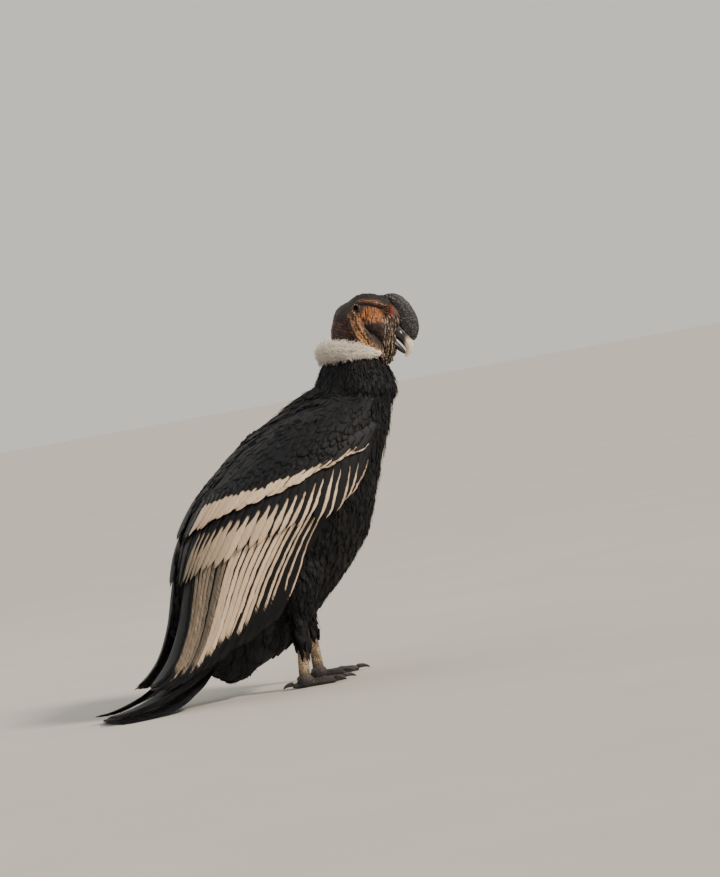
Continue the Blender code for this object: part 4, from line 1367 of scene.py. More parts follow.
class Cover:
    """What the wing feathers hide, and where their pale band lies, read by any place under them."""

    def __init__(self, coat: Coat) -> None:
        """Reads the right wing's feathers; the left wing is their mirror.

        Args:
            coat: the right wing's feathers, laid.
        """
        points = np.concatenate(coat.points)[::5]
        vane, mark = np.concatenate(coat.vanes)[::5], np.concatenate(coat.marks)[::5]
        pale = (vane[:, 0] > mark[:, 0]) & (vane[:, 0] < mark[:, 1]) & (vane[:, 1] < mark[:, 2])
        # The pale share is lowered by the wing feathers' painted shade.
        self.pale = pale.astype(float) * mark[:, 3]
        self.tree = tree_of(points)

    def read(self, places: Array) -> tuple[Array, Array]:
        """How far the nearest wing feather is from each place, and how pale it is there.

        Args:
            places: points, one row each.

        Returns:
            The distances in metres, and shares from 0 to 1.
        """
        right = places * np.where(places[:, 1:2] > 0, [1, -1, 1], [1, 1, 1])
        found = [self.tree.find(Vector(place)) for place in right]
        return np.array([f[2] for f in found]), self.pale[[f[1] for f in found]]


class Chart:
    """Reads the station and angle on the wings' surface nearest to a place."""

    def __init__(self) -> None:
        """Samples the surface."""
        station, angle = np.meshgrid(
            np.linspace(0, 12.9, 104), np.radians(np.linspace(-180, 177, 120)), indexing="ij"
        )
        self.station, self.angle = station.ravel(), angle.ravel()
        self.tree = tree_of(WING_SURFACE.place(self.station, self.angle))

    def read(self, places: Array) -> tuple[Array, Array, Array]:
        """Stations, angles, and the direction from shoulder to wing tip, at each place.

        Args:
            places: points, one row each.

        Returns:
            Stations, angles in degrees and directions.
        """
        found = np.array([self.tree.find(Vector(place))[1] for place in places])
        station, angle = self.station[found], self.angle[found]
        ahead = WING_SURFACE.place(station + 0.2, angle) - WING_SURFACE.place(station - 0.2, angle)
        return station, np.degrees(angle), unit(ahead)


@dataclass(frozen=True)
class Patch:
    """One stretch of the small coat: its feathers' sizes in metres, and how they stand and vary."""

    region: Region
    length: float
    width: float
    spacing: float
    lifts: Pair
    sway: float
    brown: float
    strands: bool = False
    ragged: float = 0.30
    tilt: float = 0.10


@dataclass
class BodyCoat:
    """The small feathers of neck, breast, back, arms, thighs and vent, laid along the skin."""

    skin: Piece
    cover: Cover
    patches: tuple[Patch, ...] = (
        Patch(Region.VENT, 0.066, 0.028, 0.0135, (0.001, 0.007), 0.10, 0.06),
        Patch(Region.THIGH, 0.038, 0.013, 0.0082, (0.001, 0.006), 0.18, 0.12),
        Patch(Region.BELLY, 0.050, 0.018, 0.0105, (0.001, 0.007), 0.16, 0.12),
        Patch(Region.BREAST, 0.044, 0.018, 0.0100, (0.001, 0.005), 0.10, 0.08),
        Patch(Region.NECK, 0.027, 0.0058, 0.0047, (0.001, 0.0045), 0.22, 0.04),
        Patch(Region.BACK, 0.052, 0.0195, 0.0098, (0.001, 0.005), 0.12, 0.30),
        Patch(Region.RUMP, 0.085, 0.026, 0.0125, (0.001, 0.004), 0.03, 0.20),
        Patch(Region.ARM, 0.042, 0.0175, 0.0092, (0.0005, 0.0019), 0.08, 0.05, False, 0.06, 0.03),
        Patch(Region.MANTLE, 0.048, 0.0110, 0.0080, (0.0015, 0.006), 0.15, 0.06),
        Patch(Region.WISPS, 0.038, 0.0024, 0.0075, (0.002, 0.008), 0.45, 0.08, True),
    )
    loose: tuple[Region, ...] = (Region.BREAST, Region.BELLY, Region.NECK, Region.THIGH, Region.VENT)
    limit: int = 190000
    tuck: float = 0.0055
    mantle: float = 0.622
    mantle_reach: float = 0.026
    stray: float = 0.10
    camber: float = 0.12
    spot_size: float = 0.003

    def __post_init__(self) -> None:
        """Reads the skin and the wings over it."""
        self.ground, self.chart = Ground(self.skin), Chart()
        self.vane = Blank(spaced(6), (-1, -0.4, 0.4, 1), 0.0006)
        self.strand = Blank(spaced(5), (-1, 1), 0.0012)

    def region(self, places: Array) -> Array:
        """The stretch that each place belongs to, or NONE where no feather grows.

        Args:
            places: points, one row each.

        Returns:
            One name a place.
        """
        local = places - np.array(SHIFT)
        station, angle, _ = self.chart.read(places)
        aside = np.abs(angle)
        root = WING_ROOTS.station(WING_ROOTS.share(aside))
        near, _ = self.cover.read(places)
        kind = np.full(len(places), Region.BREAST, dtype=object)
        kind[(station > 3.2) & (aside > 100)] = Region.BELLY
        kind[station > 6.2] = Region.VENT
        kind[local[:, 2] > 0.585] = Region.NECK
        kind[(aside < 16) & (station > 0.2) & (local[:, 2] < 0.60)] = Region.BACK
        kind[(aside < 16) & (station > 4.3)] = Region.RUMP
        hidden = near < 0.010
        for name in ("thigh_left", "thigh_right"):
            kind[within(places, name, 0.004) & (local[:, 2] < 0.335)] = Region.THIGH
        arm = (aside > 4) & (aside < 108) & (station < root - 0.40) & (local[:, 2] < 0.612)
        kind[hidden & ~arm] = Region.NONE
        kind[arm] = Region.ARM
        above = (local - np.array(RUFF_MIDDLE)) @ np.array(RUFF_AXIS) > -0.008
        kind[above | Skin.hangs(places)] = Region.NONE
        kind[(local[:, 2] < 0.125) & (local[:, 0] > -0.12)] = Region.NONE
        return kind

    def brink(self, places: Array) -> Array:
        """How near each place is to the roots of the median coverts, which the last small feathers cover."""
        station, angle, _ = self.chart.read(places)
        return ease(1.7, 0.8, WING_ROOTS.station(WING_ROOTS.share(np.abs(angle))) - station)

    def flow(self, places: Array) -> Array:
        """Which way the coat lies.

        Args:
            places: points, one row each.

        Returns:
            One direction a place.
        """
        local = places - np.array(SHIFT)
        _, _, ahead = self.chart.read(places)
        neck = ease(0.54, 0.62, local[:, 2])[:, None]
        leg = (ease(0.36, 0.27, local[:, 2]) * ease(0.20, 0.15, np.abs(local[:, 0] - 0.02)))[:, None]
        way = ahead * (1 - neck) + np.array([-0.34, 0, -0.94]) * neck
        return unit(way * (1 - leg) + np.array([-0.10, 0, -1.0]) * leg)

    def share(self, patch: Patch, kinds: Array) -> Array:
        """How much of each of the skin's triangles a patch grows on.

        Args:
            patch: the stretch of the coat.
            kinds: the name of the stretch that each triangle belongs to.

        Returns:
            One value a triangle, 0 or 1.
        """
        if patch.strands:
            return np.isin(kinds, self.loose).astype(float)
        if patch.region is Region.MANTLE:
            height = self.ground.centres[:, 2] - SHIFT.z
            return ((kinds != Region.NONE) * (np.abs(height - self.mantle) < self.mantle_reach)).astype(float)
        return (kinds == patch.region).astype(float)

    def paths(self, patch: Patch, blank: Blank, kinds: Array, draw: np.random.Generator) -> tuple[Lay, Array]:
        """Where one stretch's feathers lie.

        Args:
            patch: the stretch.
            blank: its feather.
            kinds: the name of the stretch that each triangle of the skin belongs to.
            draw: the random draw.

        Returns:
            Their paths and sizes, and their places on the skin's unwrap.
        """
        roots = self.ground.scatter(draw, patch.spacing, self.share(patch, kinds))
        count = len(roots)
        luck = draw.uniform(-1, 1, (5, count))
        flow = unit(self.flow(roots) + self.stray * draw.normal(0, 1, (count, 3)))
        length = patch.length * (1 + 0.18 * luck[0])
        low = np.full(count, patch.lifts[0]) + 0.0005 * (luck[1] + 1)
        high = patch.lifts[1] * (1 + 0.45 * luck[2])
        if patch.region is Region.ARM:
            high = high + self.tuck * self.brink(roots)
        sway = patch.sway * luck[3]
        middle, normal, spots = over_skin(self.ground, roots, flow, length, (low, high), blank.stations, sway)
        width = patch.width * (1 + 0.15 * luck[4])
        brown = np.clip(patch.brown * (1 + 0.8 * luck[1]), 0, 1)
        return Lay(
            middle, normal, width, patch.tilt * luck[2], self.camber, ALL_BLACK, brown, patch.ragged
        ), spots

    def build(self, material: Material) -> None:
        """Lays every stretch, and joins them into pieces of a size that the export keeps whole.

        Args:
            material: their finish.
        """
        coat, number = Coat(30), 0
        kinds = self.region(self.ground.centres)
        for k, patch in enumerate(self.patches):
            blank, outline = (self.strand, strand_outline) if patch.strands else (self.vane, body_outline)
            lay, spots = self.paths(patch, blank, kinds, coat.draw)
            count = len(spots)
            size = count * len(blank.faces)
            if coat.faces and sum(len(f) for f in coat.faces) + size > self.limit:
                number += 1
                finished(coat.make(), f"body_feathers_{number}", material)
                coat = Coat(30 + k)
            parts = max(1, math.ceil(size / self.limit))
            for part in range(parts):
                pick = slice(part * count // parts, (part + 1) * count // parts)
                if part:
                    number += 1
                    finished(coat.make(), f"body_feathers_{number}", material)
                    coat = Coat(60 + number)
                coat.lay(blank, outline, lay.part(pick), spots[pick], self.spot_size)
            log.info("%s: %d feathers", patch.region.value, count)
        finished(coat.make(), f"body_feathers_{number + 1}", material)


@dataclass
class Ruff:
    """The collar of down round the neck: a core, and wisps that grow shorter towards the throat."""

    shrink: float = 0.0070
    spacing: float = 0.00128
    pieces: int = 3
    fade: Pair = (0.008, 0.045)
    thinned: float = 0.0045
    voxel: float = 0.003
    wisp: float = 0.0010
    length: Pair = (0.013, 0.012)
    rise: Pair = (0.0045, 0.0085)
    breadth: Pair = (0.0008, 0.0008)
    turn: float = 1.3

    def build(self, material: Material) -> None:
        """Builds the core and lays the down over it.

        Args:
            material: the finish of core and down.
        """
        core = twin_of("ruff")
        apply(core, "REMESH", mode="VOXEL", voxel_size=self.voxel, adaptivity=0.0)
        apply(core, "DISPLACE", strength=-self.shrink, mid_level=0.0)
        apply(core, "SMOOTH", factor=0.5, iterations=3)
        places = places_of(core)
        front = ease(*self.fade, (places - np.array(RUFF_MIDDLE + SHIFT))[:, 0])
        set_places(core, places - normals_of(core) * (front * self.thinned)[:, None])
        apply(core, "TRIANGULATE")
        unwrap(core)
        finished(core, "ruff_core", material, ["ruff"])
        # The core's alpha of 0.6 greys it with the down's painted shade.
        write_colour(core.data, "Vane", np.tile([0.3, 0.5, 0.5, 0.6], (len(core.data.vertices), 1)))
        ground, strand = Ground(core), Blank(spaced(5), (-1, 1), self.wisp)
        axis, heart = np.array(RUFF_AXIS), np.array(RUFF_MIDDLE + SHIFT)
        coat = Coat(50)
        roots = ground.scatter(coat.draw, self.spacing, np.ones(len(ground.centres)))
        for number in range(self.pieces):
            pick = slice(number, None, self.pieces)
            coat = Coat(51 + number)
            root = roots[pick]
            count = len(root)
            out = root - heart
            out = unit(out - (out @ axis)[:, None] * axis)
            flow = unit(-0.55 * axis + 0.35 * out + 0.55 * coat.draw.normal(0, 1, (count, 3)))
            luck = coat.draw.uniform(0, 1, (4, count))
            fade = ease(*self.fade, (root - heart)[:, 0])
            length = (self.length[0] + self.length[1] * luck[0]) * (1 - 0.5 * fade)
            high = (self.rise[0] + self.rise[1] * luck[1]) * (1 - 0.7 * fade)
            high = high * (1 + 0.35 * ease(0.0, -0.05, (root - heart)[:, 0]))
            lifts, sway = (np.full(count, 0.0), high), 2 * self.turn * luck[2] - self.turn
            middle, normal, spots = over_skin(ground, root, flow, length, lifts, strand.stations, sway)
            # painted shade: how far towards the back of the ruff, which the finish greys
            back = ease(0.02, -0.06, (root - heart)[:, 0])
            width, tilt = self.breadth[0] + self.breadth[1] * luck[3], coat.draw.uniform(-0.8, 0.8, count)
            lay = Lay(middle, normal, width, tilt, 0.0, ALL_PALE, back, 0.1)
            coat.lay(strand, strand_outline, lay, spots, 0.003)
            finished(coat.make(), f"ruff_down_{number + 1}", material)
            log.info("down: %d wisps", count)


@dataclass
class HeadHairs:
    """The few short bristles of crown and nape; a pair holds the least value and the spread over it."""

    spacing: float = 0.0036
    thickness: float = 0.0006
    width: float = 0.00032
    length: Pair = (0.002, 0.0025)
    rise: Pair = (0.0006, 0.0008)
    above_ruff: float = 0.02

    def inside(self, places: Array) -> Array:
        """How thickly bristles stand at each place: on crown and nape, and sparsely on the cheek.

        Args:
            places: points, one row each.

        Returns:
            One share a place.
        """
        head = HeadMap(places)
        masks = head.masks()
        bare = (places - np.array(SHIFT + RUFF_MIDDLE)) @ np.array(RUFF_AXIS) > self.above_ruff
        grown = np.clip(masks["crown"] + 0.5 * masks["nape"] + 0.04, 0, 1)
        return bare * (head.x < 46) * grown * (1 - masks["ear"]) * (1 - masks["eye"])

    def build(self, skin: Piece, material: Material) -> None:
        """Lays the bristles on the head's skin.

        Args:
            skin: the bird's skin.
            material: their finish.
        """
        ground, strand, coat = Ground(skin), Blank(spaced(4), (-1, 1), self.thickness), Coat(70)
        roots = ground.scatter(coat.draw, self.spacing, self.inside(ground.centres))
        count = len(roots)
        back = np.array(HEAD_TURN) @ np.array([-0.9, 0, -0.45])
        flow = unit(back + 0.35 * coat.draw.normal(0, 1, (count, 3)))
        luck = coat.draw.uniform(0, 1, (3, count))
        length, high = (low + spread * luck[k] for k, (low, spread) in enumerate((self.length, self.rise)))
        lifts, sway = (np.full(count, -0.0002), high), 0.4 * luck[2] - 0.2
        middle, normal, spots = over_skin(ground, roots, flow, length, lifts, strand.stations, sway)
        lay = Lay(middle, normal, self.width, 0.0, 0.0, ALL_BLACK, 0.5)
        coat.lay(strand, strand_outline, lay, spots, 0.003)
        finished(coat.make(), "head_bristles", material)


@dataclass
class Crest:
    """The cock's fleshy comb; its lumps' sizes and height are in millimetres."""

    voxel: float = 0.0009
    smooth: int = 4
    pebble: float = 2.6
    grit: float = 1.5
    crease: float = 11
    height: float = 0.6

    def build(self, material: Material) -> None:
        """Builds the comb, pebbled all over, and marks the pebbles that the finish paints highlights on, most
        in its lower and rear parts.

        Args:
            material: its finish.
        """
        piece = refined(("comb",), self.voxel, self.smooth)
        places = places_of(piece)
        head = HeadMap(places)
        pebble = head.rough(self.pebble, 3) + 0.6 * head.rough(self.grit, 7)
        crease = head.rough(self.crease, 1)
        raised = self.height * pebble + self.height * crease
        set_places(piece, places + normals_of(piece) * raised[:, None] * MM)
        # Where the finish paints highlights on the pebbles: on the raised ones, most in the lower, rear part.
        spread = np.clip(0.5 + 0.6 * pebble, 0, 1)
        low = ease(66, 46, head.z) * ease(66, 40, head.x)
        write_colour(
            piece.data, "ZoneA", np.stack([spread, low, crease * 0.5 + 0.5, np.ones(len(places))], axis=1)
        )
        unwrap(piece)
        finished(piece, "comb_flesh", material, ["comb"])


@dataclass
class Bill:
    """Both halves of the horny bill; line is the spacing of its growth lines in millimetres."""

    voxel: float = 0.0007
    smooth: int = 4
    line: float = 5.5
    line_height: float = 0.02
    wear: float = 0.06

    def build(self, material: Material) -> None:
        """Builds the two halves with growth lines and the ivory hook.

        Args:
            material: the finish of both halves.
        """
        for node, name in (("bill_upper", "bill_upper_horn"), ("bill_lower", "bill_lower_horn")):
            piece = refined((node,), self.voxel, self.smooth)
            places = places_of(piece)
            head = HeadMap(places)
            lines = np.sin((head.z * 0.55 + head.x * 0.8 + 0.8 * head.rough(14)) * math.tau / self.line)
            raised = self.line_height * lines + self.wear * head.rough(6, 2)
            set_places(piece, places + normals_of(piece) * raised[:, None] * MM)
            if node == "bill_upper":
                ivory = ease(80, 89, head.x + 0.15 * (-40 - head.z)) * ease(
                    -34, -48, head.z + 0.8 * head.rough(7)
                )
            else:
                ivory = 0.30 * ease(72, 80, head.x) * ease(-66, -58, head.z + 1.5 * head.rough(5))
            values = np.stack(
                [ivory, lines * 0.5 + 0.5, head.rough(5, 4) * 0.5 + 0.5, np.ones(len(places))], axis=1
            )
            write_colour(piece.data, "ZoneA", values)
            unwrap(piece)
            finished(piece, name, material, [node])


@dataclass
class Eyes:
    """Two eyeballs with a low cornea, looking out and a little ahead."""

    radius: float = 0.0086
    bulge: float = 0.0007

    def build(self, material: Material) -> None:
        """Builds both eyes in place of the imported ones.

        Args:
            material: the finish of both eyes.
        """
        for node, side in (("eye_right", Side.RIGHT), ("eye_left", Side.LEFT)):
            low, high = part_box(node)
            deselect()
            centre = (Vector(low) + Vector(high)) / 2
            bpy.ops.mesh.primitive_uv_sphere_add(
                segments=64, ring_count=40, radius=self.radius, location=centre
            )
            piece = bpy.context.active_object
            bpy.ops.object.transform_apply(location=True, rotation=True, scale=True)
            axis = unit(np.array(HEAD_TURN) @ np.array([0.16, side * 1.0, 0.02]))
            places = places_of(piece)
            out = unit(places - np.array(centre))
            off = np.arccos(np.clip(out @ axis, -1, 1))
            set_places(piece, places + out * (self.bulge * (1 - ease(0.25, 0.75, off)))[:, None])
            write_colour(
                piece.data, "ZoneA", np.stack([off, out[:, 2] * 0.5 + 0.5, off * 0, off * 0 + 1], axis=1)
            )
            piece.data.uv_layers[0].name = "OFBake"
            finished(piece, f"{node}ball", material, [node])


@dataclass
class Claws:
    """The black claws."""

    voxel: float = 0.0007
    smooth: int = 2
    toes: int = 4

    def build(self, material: Material) -> None:
        """Builds each foot's four claws as one piece.

        Args:
            material: the finish of all claws.
        """
        for side in ("left", "right"):
            nodes = tuple(f"claw_{side}_{k}" for k in range(self.toes))
            piece = refined(nodes, self.voxel, self.smooth)
            above_floor(piece)
            unwrap(piece)
            finished(piece, f"claws_{side}", material, nodes)


def grains(millimetres: float) -> float:
    """The scale of a pattern whose grains are so many millimetres across."""
    return 1 / (millimetres * MM)


class Kind(Enum):
    """Kinds of node: Blender's type, its settings, the sockets fed in order, and the output that is read."""

    PLACE = ("ShaderNodeTexCoord", {}, (), "Object")
    ATTRIBUTE = ("ShaderNodeAttribute", {}, (), "Color")
    MAP = ("ShaderNodeUVMap", {}, (), 0)
    DRAWN_OUT = ("ShaderNodeMapping", {}, ("Vector", "Scale"), 0)
    SPLIT = ("ShaderNodeSeparateColor", {}, (0,), 0)
    AXES = ("ShaderNodeSeparateXYZ", {}, (0,), 0)
    NOISE = ("ShaderNodeTexNoise", {}, ("Vector", "Scale", "Detail"), 0)
    CELLS = ("ShaderNodeTexVoronoi", {}, ("Vector", "Scale"), 0)
    MIX = ("ShaderNodeMix", {"data_type": "RGBA"}, (0, 6, 7), 2)
    STEP = ("ShaderNodeMapRange", {"interpolation_type": "SMOOTHSTEP"}, (0, 1, 2), 0)
    ADD = ("ShaderNodeMath", {"operation": "ADD"}, (0, 1), 0)
    MINUS = ("ShaderNodeMath", {"operation": "SUBTRACT"}, (0, 1), 0)
    TIMES = ("ShaderNodeMath", {"operation": "MULTIPLY"}, (0, 1), 0)
    MULTIPLY_ADD = ("ShaderNodeMath", {"operation": "MULTIPLY_ADD"}, (0, 1, 2), 0)
    SHARE = ("ShaderNodeMath", {"operation": "MULTIPLY", "use_clamp": True}, (0, 1), 0)
    ABSOLUTE = ("ShaderNodeMath", {"operation": "ABSOLUTE"}, (0,), 0)
    RELIEF = ("ShaderNodeBump", {}, ("Height", "Distance", "Strength"), 0)
    SHADER = ("ShaderNodeBsdfPrincipled", {}, ("Base Color", "Roughness", "Normal"), 0)
    END = ("ShaderNodeOutputMaterial", {}, ("Surface",), None)


(
    PLACE, ATTRIBUTE, MAP, DRAWN_OUT, SPLIT, AXES, NOISE,
    CELLS, MIX, STEP, ADD, MINUS, TIMES, MULTIPLY_ADD, SHARE, ABSOLUTE, RELIEF, SHADER, END,
) = Kind


class Tree:
    """A material and its nodes; place is the object's own coordinates, which most patterns follow."""

    def __init__(self, name: str) -> None:
        """Starts an empty material of that name.

        Args:
            name: the material's name.
        """
        self.material = bpy.data.materials.new(name)
        self.material.use_nodes = True
        self.nodes, self.links = self.material.node_tree.nodes, self.material.node_tree.links
        self.nodes.clear()
        self.place = self.add(PLACE)

    def add(self, kind: Kind, *feeds: object, **settings: object) -> bpy.types.NodeSocket | None:
        """Adds a node with its settings and links.

        Args:
            kind: the kind of node.
            feeds: a value, a hex colour or a socket that feeds it, for each of its sockets in order.
            settings: the node's further properties.

        Returns:
            The output that is read, or nothing where the node has none.
        """
        blender_type, usual, sockets, output = kind.value
        node = self.nodes.new(blender_type)
        for name, value in {**usual, **settings}.items():
            setattr(node, name, value)
        for key, value in zip(sockets, feeds, strict=True):
            value = linear(value) if isinstance(value, str) else value
            if isinstance(value, bpy.types.NodeSocket):
                self.links.new(value, node.inputs[key])
            else:
                node.inputs[key].default_value = value
        return None if output is None else node.outputs[output]

    def dress(self, colour: object, roughness: object, height: object, depth: float,
              **even: object) -> Material:
        """Ends the material with its shader.

        Args:
            colour: its colour.
            roughness: its roughness.
            height: what its relief follows.
            depth: how deep the relief is, in metres.
            even: the shader's other values, the same all over.

        Returns:
            The material.
        """
        shader = self.add(SHADER, colour, roughness, self.add(RELIEF, height, depth, 1.0))
        for name, value in even.items():
            shader.node.inputs[name.replace("_", " ").title().replace("Ior", "IOR")].default_value = value
        self.add(END, shader)
        return self.material


@dataclass(frozen=True)
class FeatherFinish:
    """Contour feathers, keratin barbs zipped flat: a soft satin, with fine oblique lines, a worn rim, a
    painted blue-grey sheen on the black, and painted shade greying the pale.
    """

    name: str = "feather_keratin"
    black: str = "#08080a"
    # slate is a painted sheen: a blue-grey that stands in for the gloss on black feathers
    slate: str = "#13161c"
    brown: str = "#40362d"
    # the grey that the pale is darkened to as painted shade
    painted_shade_grey: str = "#4c4842"
    cream: str = "#e2ccb0"
    tan: str = "#b89c7e"
    barb: float = 2.4  # groups of barbs; single barbs are 0.6 mm and too fine to show
    gloss: float = 0.46
    level: float = 0.22

    def build(self) -> Material:
        """Builds the material; its marks come from each feather's own attributes.

        Returns:
            The material.
        """
        t = Tree(self.name)
        vane = t.add(ATTRIBUTE, attribute_name="Vane")
        along, across, luck = t.add(SPLIT, vane).node.outputs
        mark = t.add(ATTRIBUTE, attribute_name="Mark")
        start, end, web = t.add(SPLIT, mark).node.outputs
        drawn = t.add(DRAWN_OUT, t.add(MAP, uv_map="Barbs"), (1.0, 0.10, 1.0))
        barbs = t.add(NOISE, drawn, grains(self.barb), 2.0)
        cloud = t.add(NOISE, t.place, grains(22.0), 2.0)
        wander = t.add(MINUS, barbs, 0.5)
        u = t.add(MULTIPLY_ADD, wander, 0.11, along)
        v = t.add(MULTIPLY_ADD, wander, 0.08, across)
        begins = t.add(
            STEP, t.add(MULTIPLY_ADD, wander, 0.05, along), t.add(MINUS, start, 0.03), t.add(ADD, start, 0.03)
        )
        ends = t.add(STEP, u, t.add(MINUS, end, 0.025), t.add(ADD, end, 0.02))
        spread = t.add(STEP, t.add(MINUS, along, start), 0.0, 0.40)
        web = t.add(TIMES, web, t.add(MULTIPLY_ADD, spread, 0.75, 0.25))
        inner = t.add(STEP, v, t.add(MINUS, web, 0.05), t.add(ADD, web, 0.04))
        band = t.add(TIMES, begins, t.add(MINUS, 1.0, ends))
        pale = t.add(SHARE, band, t.add(MINUS, 1.0, inner))
        # painted sheen: slate mixed in at random over each feather
        sheen = t.add(SHARE, t.add(ADD, luck, cloud), 0.42)
        dark = t.add(MIX, sheen, self.black, self.slate)
        dark = t.add(MIX, t.add(SHARE, vane.node.outputs["Alpha"], t.add(ADD, cloud, 0.1)), dark, self.brown)
        worn = t.add(TIMES, t.add(STEP, along, 0.90, 1.0), t.add(TIMES, barbs, 0.30))
        dark = t.add(MIX, worn, dark, self.brown)
        light = t.add(MIX, t.add(TIMES, t.add(STEP, barbs, 0.35, 0.75), 0.45), self.cream, self.tan)
        light = t.add(MIX, t.add(TIMES, luck, 0.45), light, self.tan)
        shaft = t.add(MINUS, 1.0, t.add(STEP, t.add(ABSOLUTE, t.add(MINUS, across, 0.5)), 0.01, 0.035))
        light = t.add(MIX, t.add(TIMES, shaft, 0.28), light, self.brown)
        # painted shade: the mark's shade darkens the pale to grey
        painted_shade = t.add(
            SHARE, t.add(MINUS, 1.0, mark.node.outputs["Alpha"]), t.add(MULTIPLY_ADD, barbs, 0.7, 0.65)
        )
        light = t.add(MIX, painted_shade, light, self.painted_shade_grey)
        colour = t.add(MIX, pale, dark, light)
        rough = t.add(MULTIPLY_ADD, pale, 0.25, t.add(MULTIPLY_ADD, barbs, 0.22, self.gloss))
        return t.dress(colour, rough, barbs, 0.0006, specular_ior_level=self.level)


@dataclass(frozen=True)
class UnderFinish:
    """The feathered skin: it takes the coat's own marks, so that gaps between feathers don't show."""

    name: str = "feathered_skin"
    black: str = "#0a0a0b"
    brown: str = "#1b1815"
    cream: str = "#a8907a"

    def build(self) -> Material:
        """Builds the material.

        Returns:
            The material.
        """
        t = Tree(self.name)
        mark = t.add(ATTRIBUTE, attribute_name="Pale")
        fuzz = t.add(NOISE, t.place, grains(4.0), 3.0)
        dark = t.add(MIX, fuzz, self.black, self.brown)
        # The Pale attribute carries the wing feathers' painted shade.
        colour = t.add(MIX, mark.node.outputs["Fac"], dark, self.cream)
        return t.dress(colour, t.add(MULTIPLY_ADD, fuzz, 0.2, 0.65), fuzz, 0.0006)


@dataclass(frozen=True)
class DownFinish:
    """Down, loose barbs with no hooks: matt, and light shines softly through it; painted shade makes it warmer
    and darker towards the roots and grey at the back of the ruff.
    """

    name: str = "white_down"
    white: str = "#fffaf0"
    warm: str = "#f0e0c6"
    # grey is the painted shade at the back of the ruff
    grey: str = "#b9afa5"

    def build(self) -> Material:
        """Builds the material.

        Returns:
            The material.
        """
        t = Tree(self.name)
        vane = t.add(ATTRIBUTE, attribute_name="Vane")
        along, _, luck = t.add(SPLIT, vane).node.outputs
        cloud = t.add(NOISE, t.place, grains(12.0), 2.0)
        colour = t.add(MIX, t.add(SHARE, t.add(ADD, luck, cloud), 0.45), self.white, self.warm)
        # painted shade: warmer and darker towards the wisps' roots
        colour = t.add(MIX, t.add(TIMES, t.add(STEP, along, 0.6, 0.0), 0.30), colour, self.warm)
        # painted shade: grey where the alpha marks the back of the ruff
        colour = t.add(MIX, t.add(TIMES, vane.node.outputs["Alpha"], 0.38), colour, self.grey)
        return t.dress(
            colour, t.add(MULTIPLY_ADD, cloud, 0.1, 0.75), t.add(NOISE, t.place, grains(1.5), 2.0), 0.0003,
            sheen_weight=0.25, subsurface_weight=0.28, subsurface_scale=0.005,
            subsurface_radius=(1.0, 0.9, 0.8)
        )


@dataclass(frozen=True)
class BareSkinFinish:
    """Living bare skin over fat: matt, coloured by what lies under, with painted highlights on the ridges and
    painted shade in the creases.
    """

    name: str = "bare_skin_wrinkled"
    base: str = "#2a1e1a"
    flesh: str = "#513c32"
    orange: str = "#9a5a26"
    tan: str = "#a97846"
    brow: str = "#63402f"
    red: str = "#6e2a22"
    wattle: str = "#3a2e28"
    # lit_ridge is the colour of the painted highlight on the ridges
    lit_ridge: str = "#b0967c"
    nape: str = "#7a3a30"
    black: str = "#0e0b0b"

    def build(self) -> Material:
        """Builds the material from the two sets of zones.

        Returns:
            The material.
        """
        t = Tree(self.name)
        first = t.add(ATTRIBUTE, attribute_name="ZoneA")
        cheek, fold, wattle = t.add(SPLIT, first).node.outputs
        second = t.add(ATTRIBUTE, attribute_name="ZoneB")
        dark, red, nape = t.add(SPLIT, second).node.outputs
        relief = second.node.outputs["Alpha"]
        cloud, fine = t.add(NOISE, t.place, grains(9.0), 3.0), t.add(NOISE, t.place, grains(1.6), 3.0)
        pores = t.add(CELLS, t.place, grains(1.4))
        colour = t.add(MIX, cloud, self.base, self.flesh)
        colour = t.add(MIX, t.add(SHARE, cheek, t.add(ADD, cloud, 0.35)), colour, self.orange)
        colour = t.add(MIX, t.add(SHARE, fold, t.add(ADD, cloud, 0.45)), colour, self.tan)
        colour = t.add(MIX, wattle, colour, self.wattle)
        colour = t.add(MIX, first.node.outputs["Alpha"], colour, self.brow)
        colour = t.add(MIX, red, colour, self.red)
        colour = t.add(MIX, nape, colour, self.nape)
        colour = t.add(MIX, t.add(TIMES, dark, 0.9), colour, self.black)
        # painted highlight: the high ridges are lightened, but not on the dark skin
        pale = t.add(SHARE, t.add(STEP, relief, 0.60, 0.95), t.add(MINUS, 1.0, dark))
        colour = t.add(MIX, t.add(TIMES, pale, 0.85), colour, self.lit_ridge)
        # painted shade: the creases are darkened
        colour = t.add(MIX, t.add(TIMES, t.add(STEP, relief, 0.48, 0.20), 0.85), colour, self.black)
        colour = t.add(MIX, t.add(TIMES, t.add(STEP, fine, 0.55, 0.30), 0.35), colour, self.black)
        rough = t.add(MULTIPLY_ADD, fine, 0.22, 0.50)
        height = t.add(ADD, t.add(TIMES, pores, 0.5), fine)
        return t.dress(
            colour, rough, height, 0.0004, subsurface_weight=0.06, subsurface_scale=0.002,
            specular_ior_level=0.4
        )


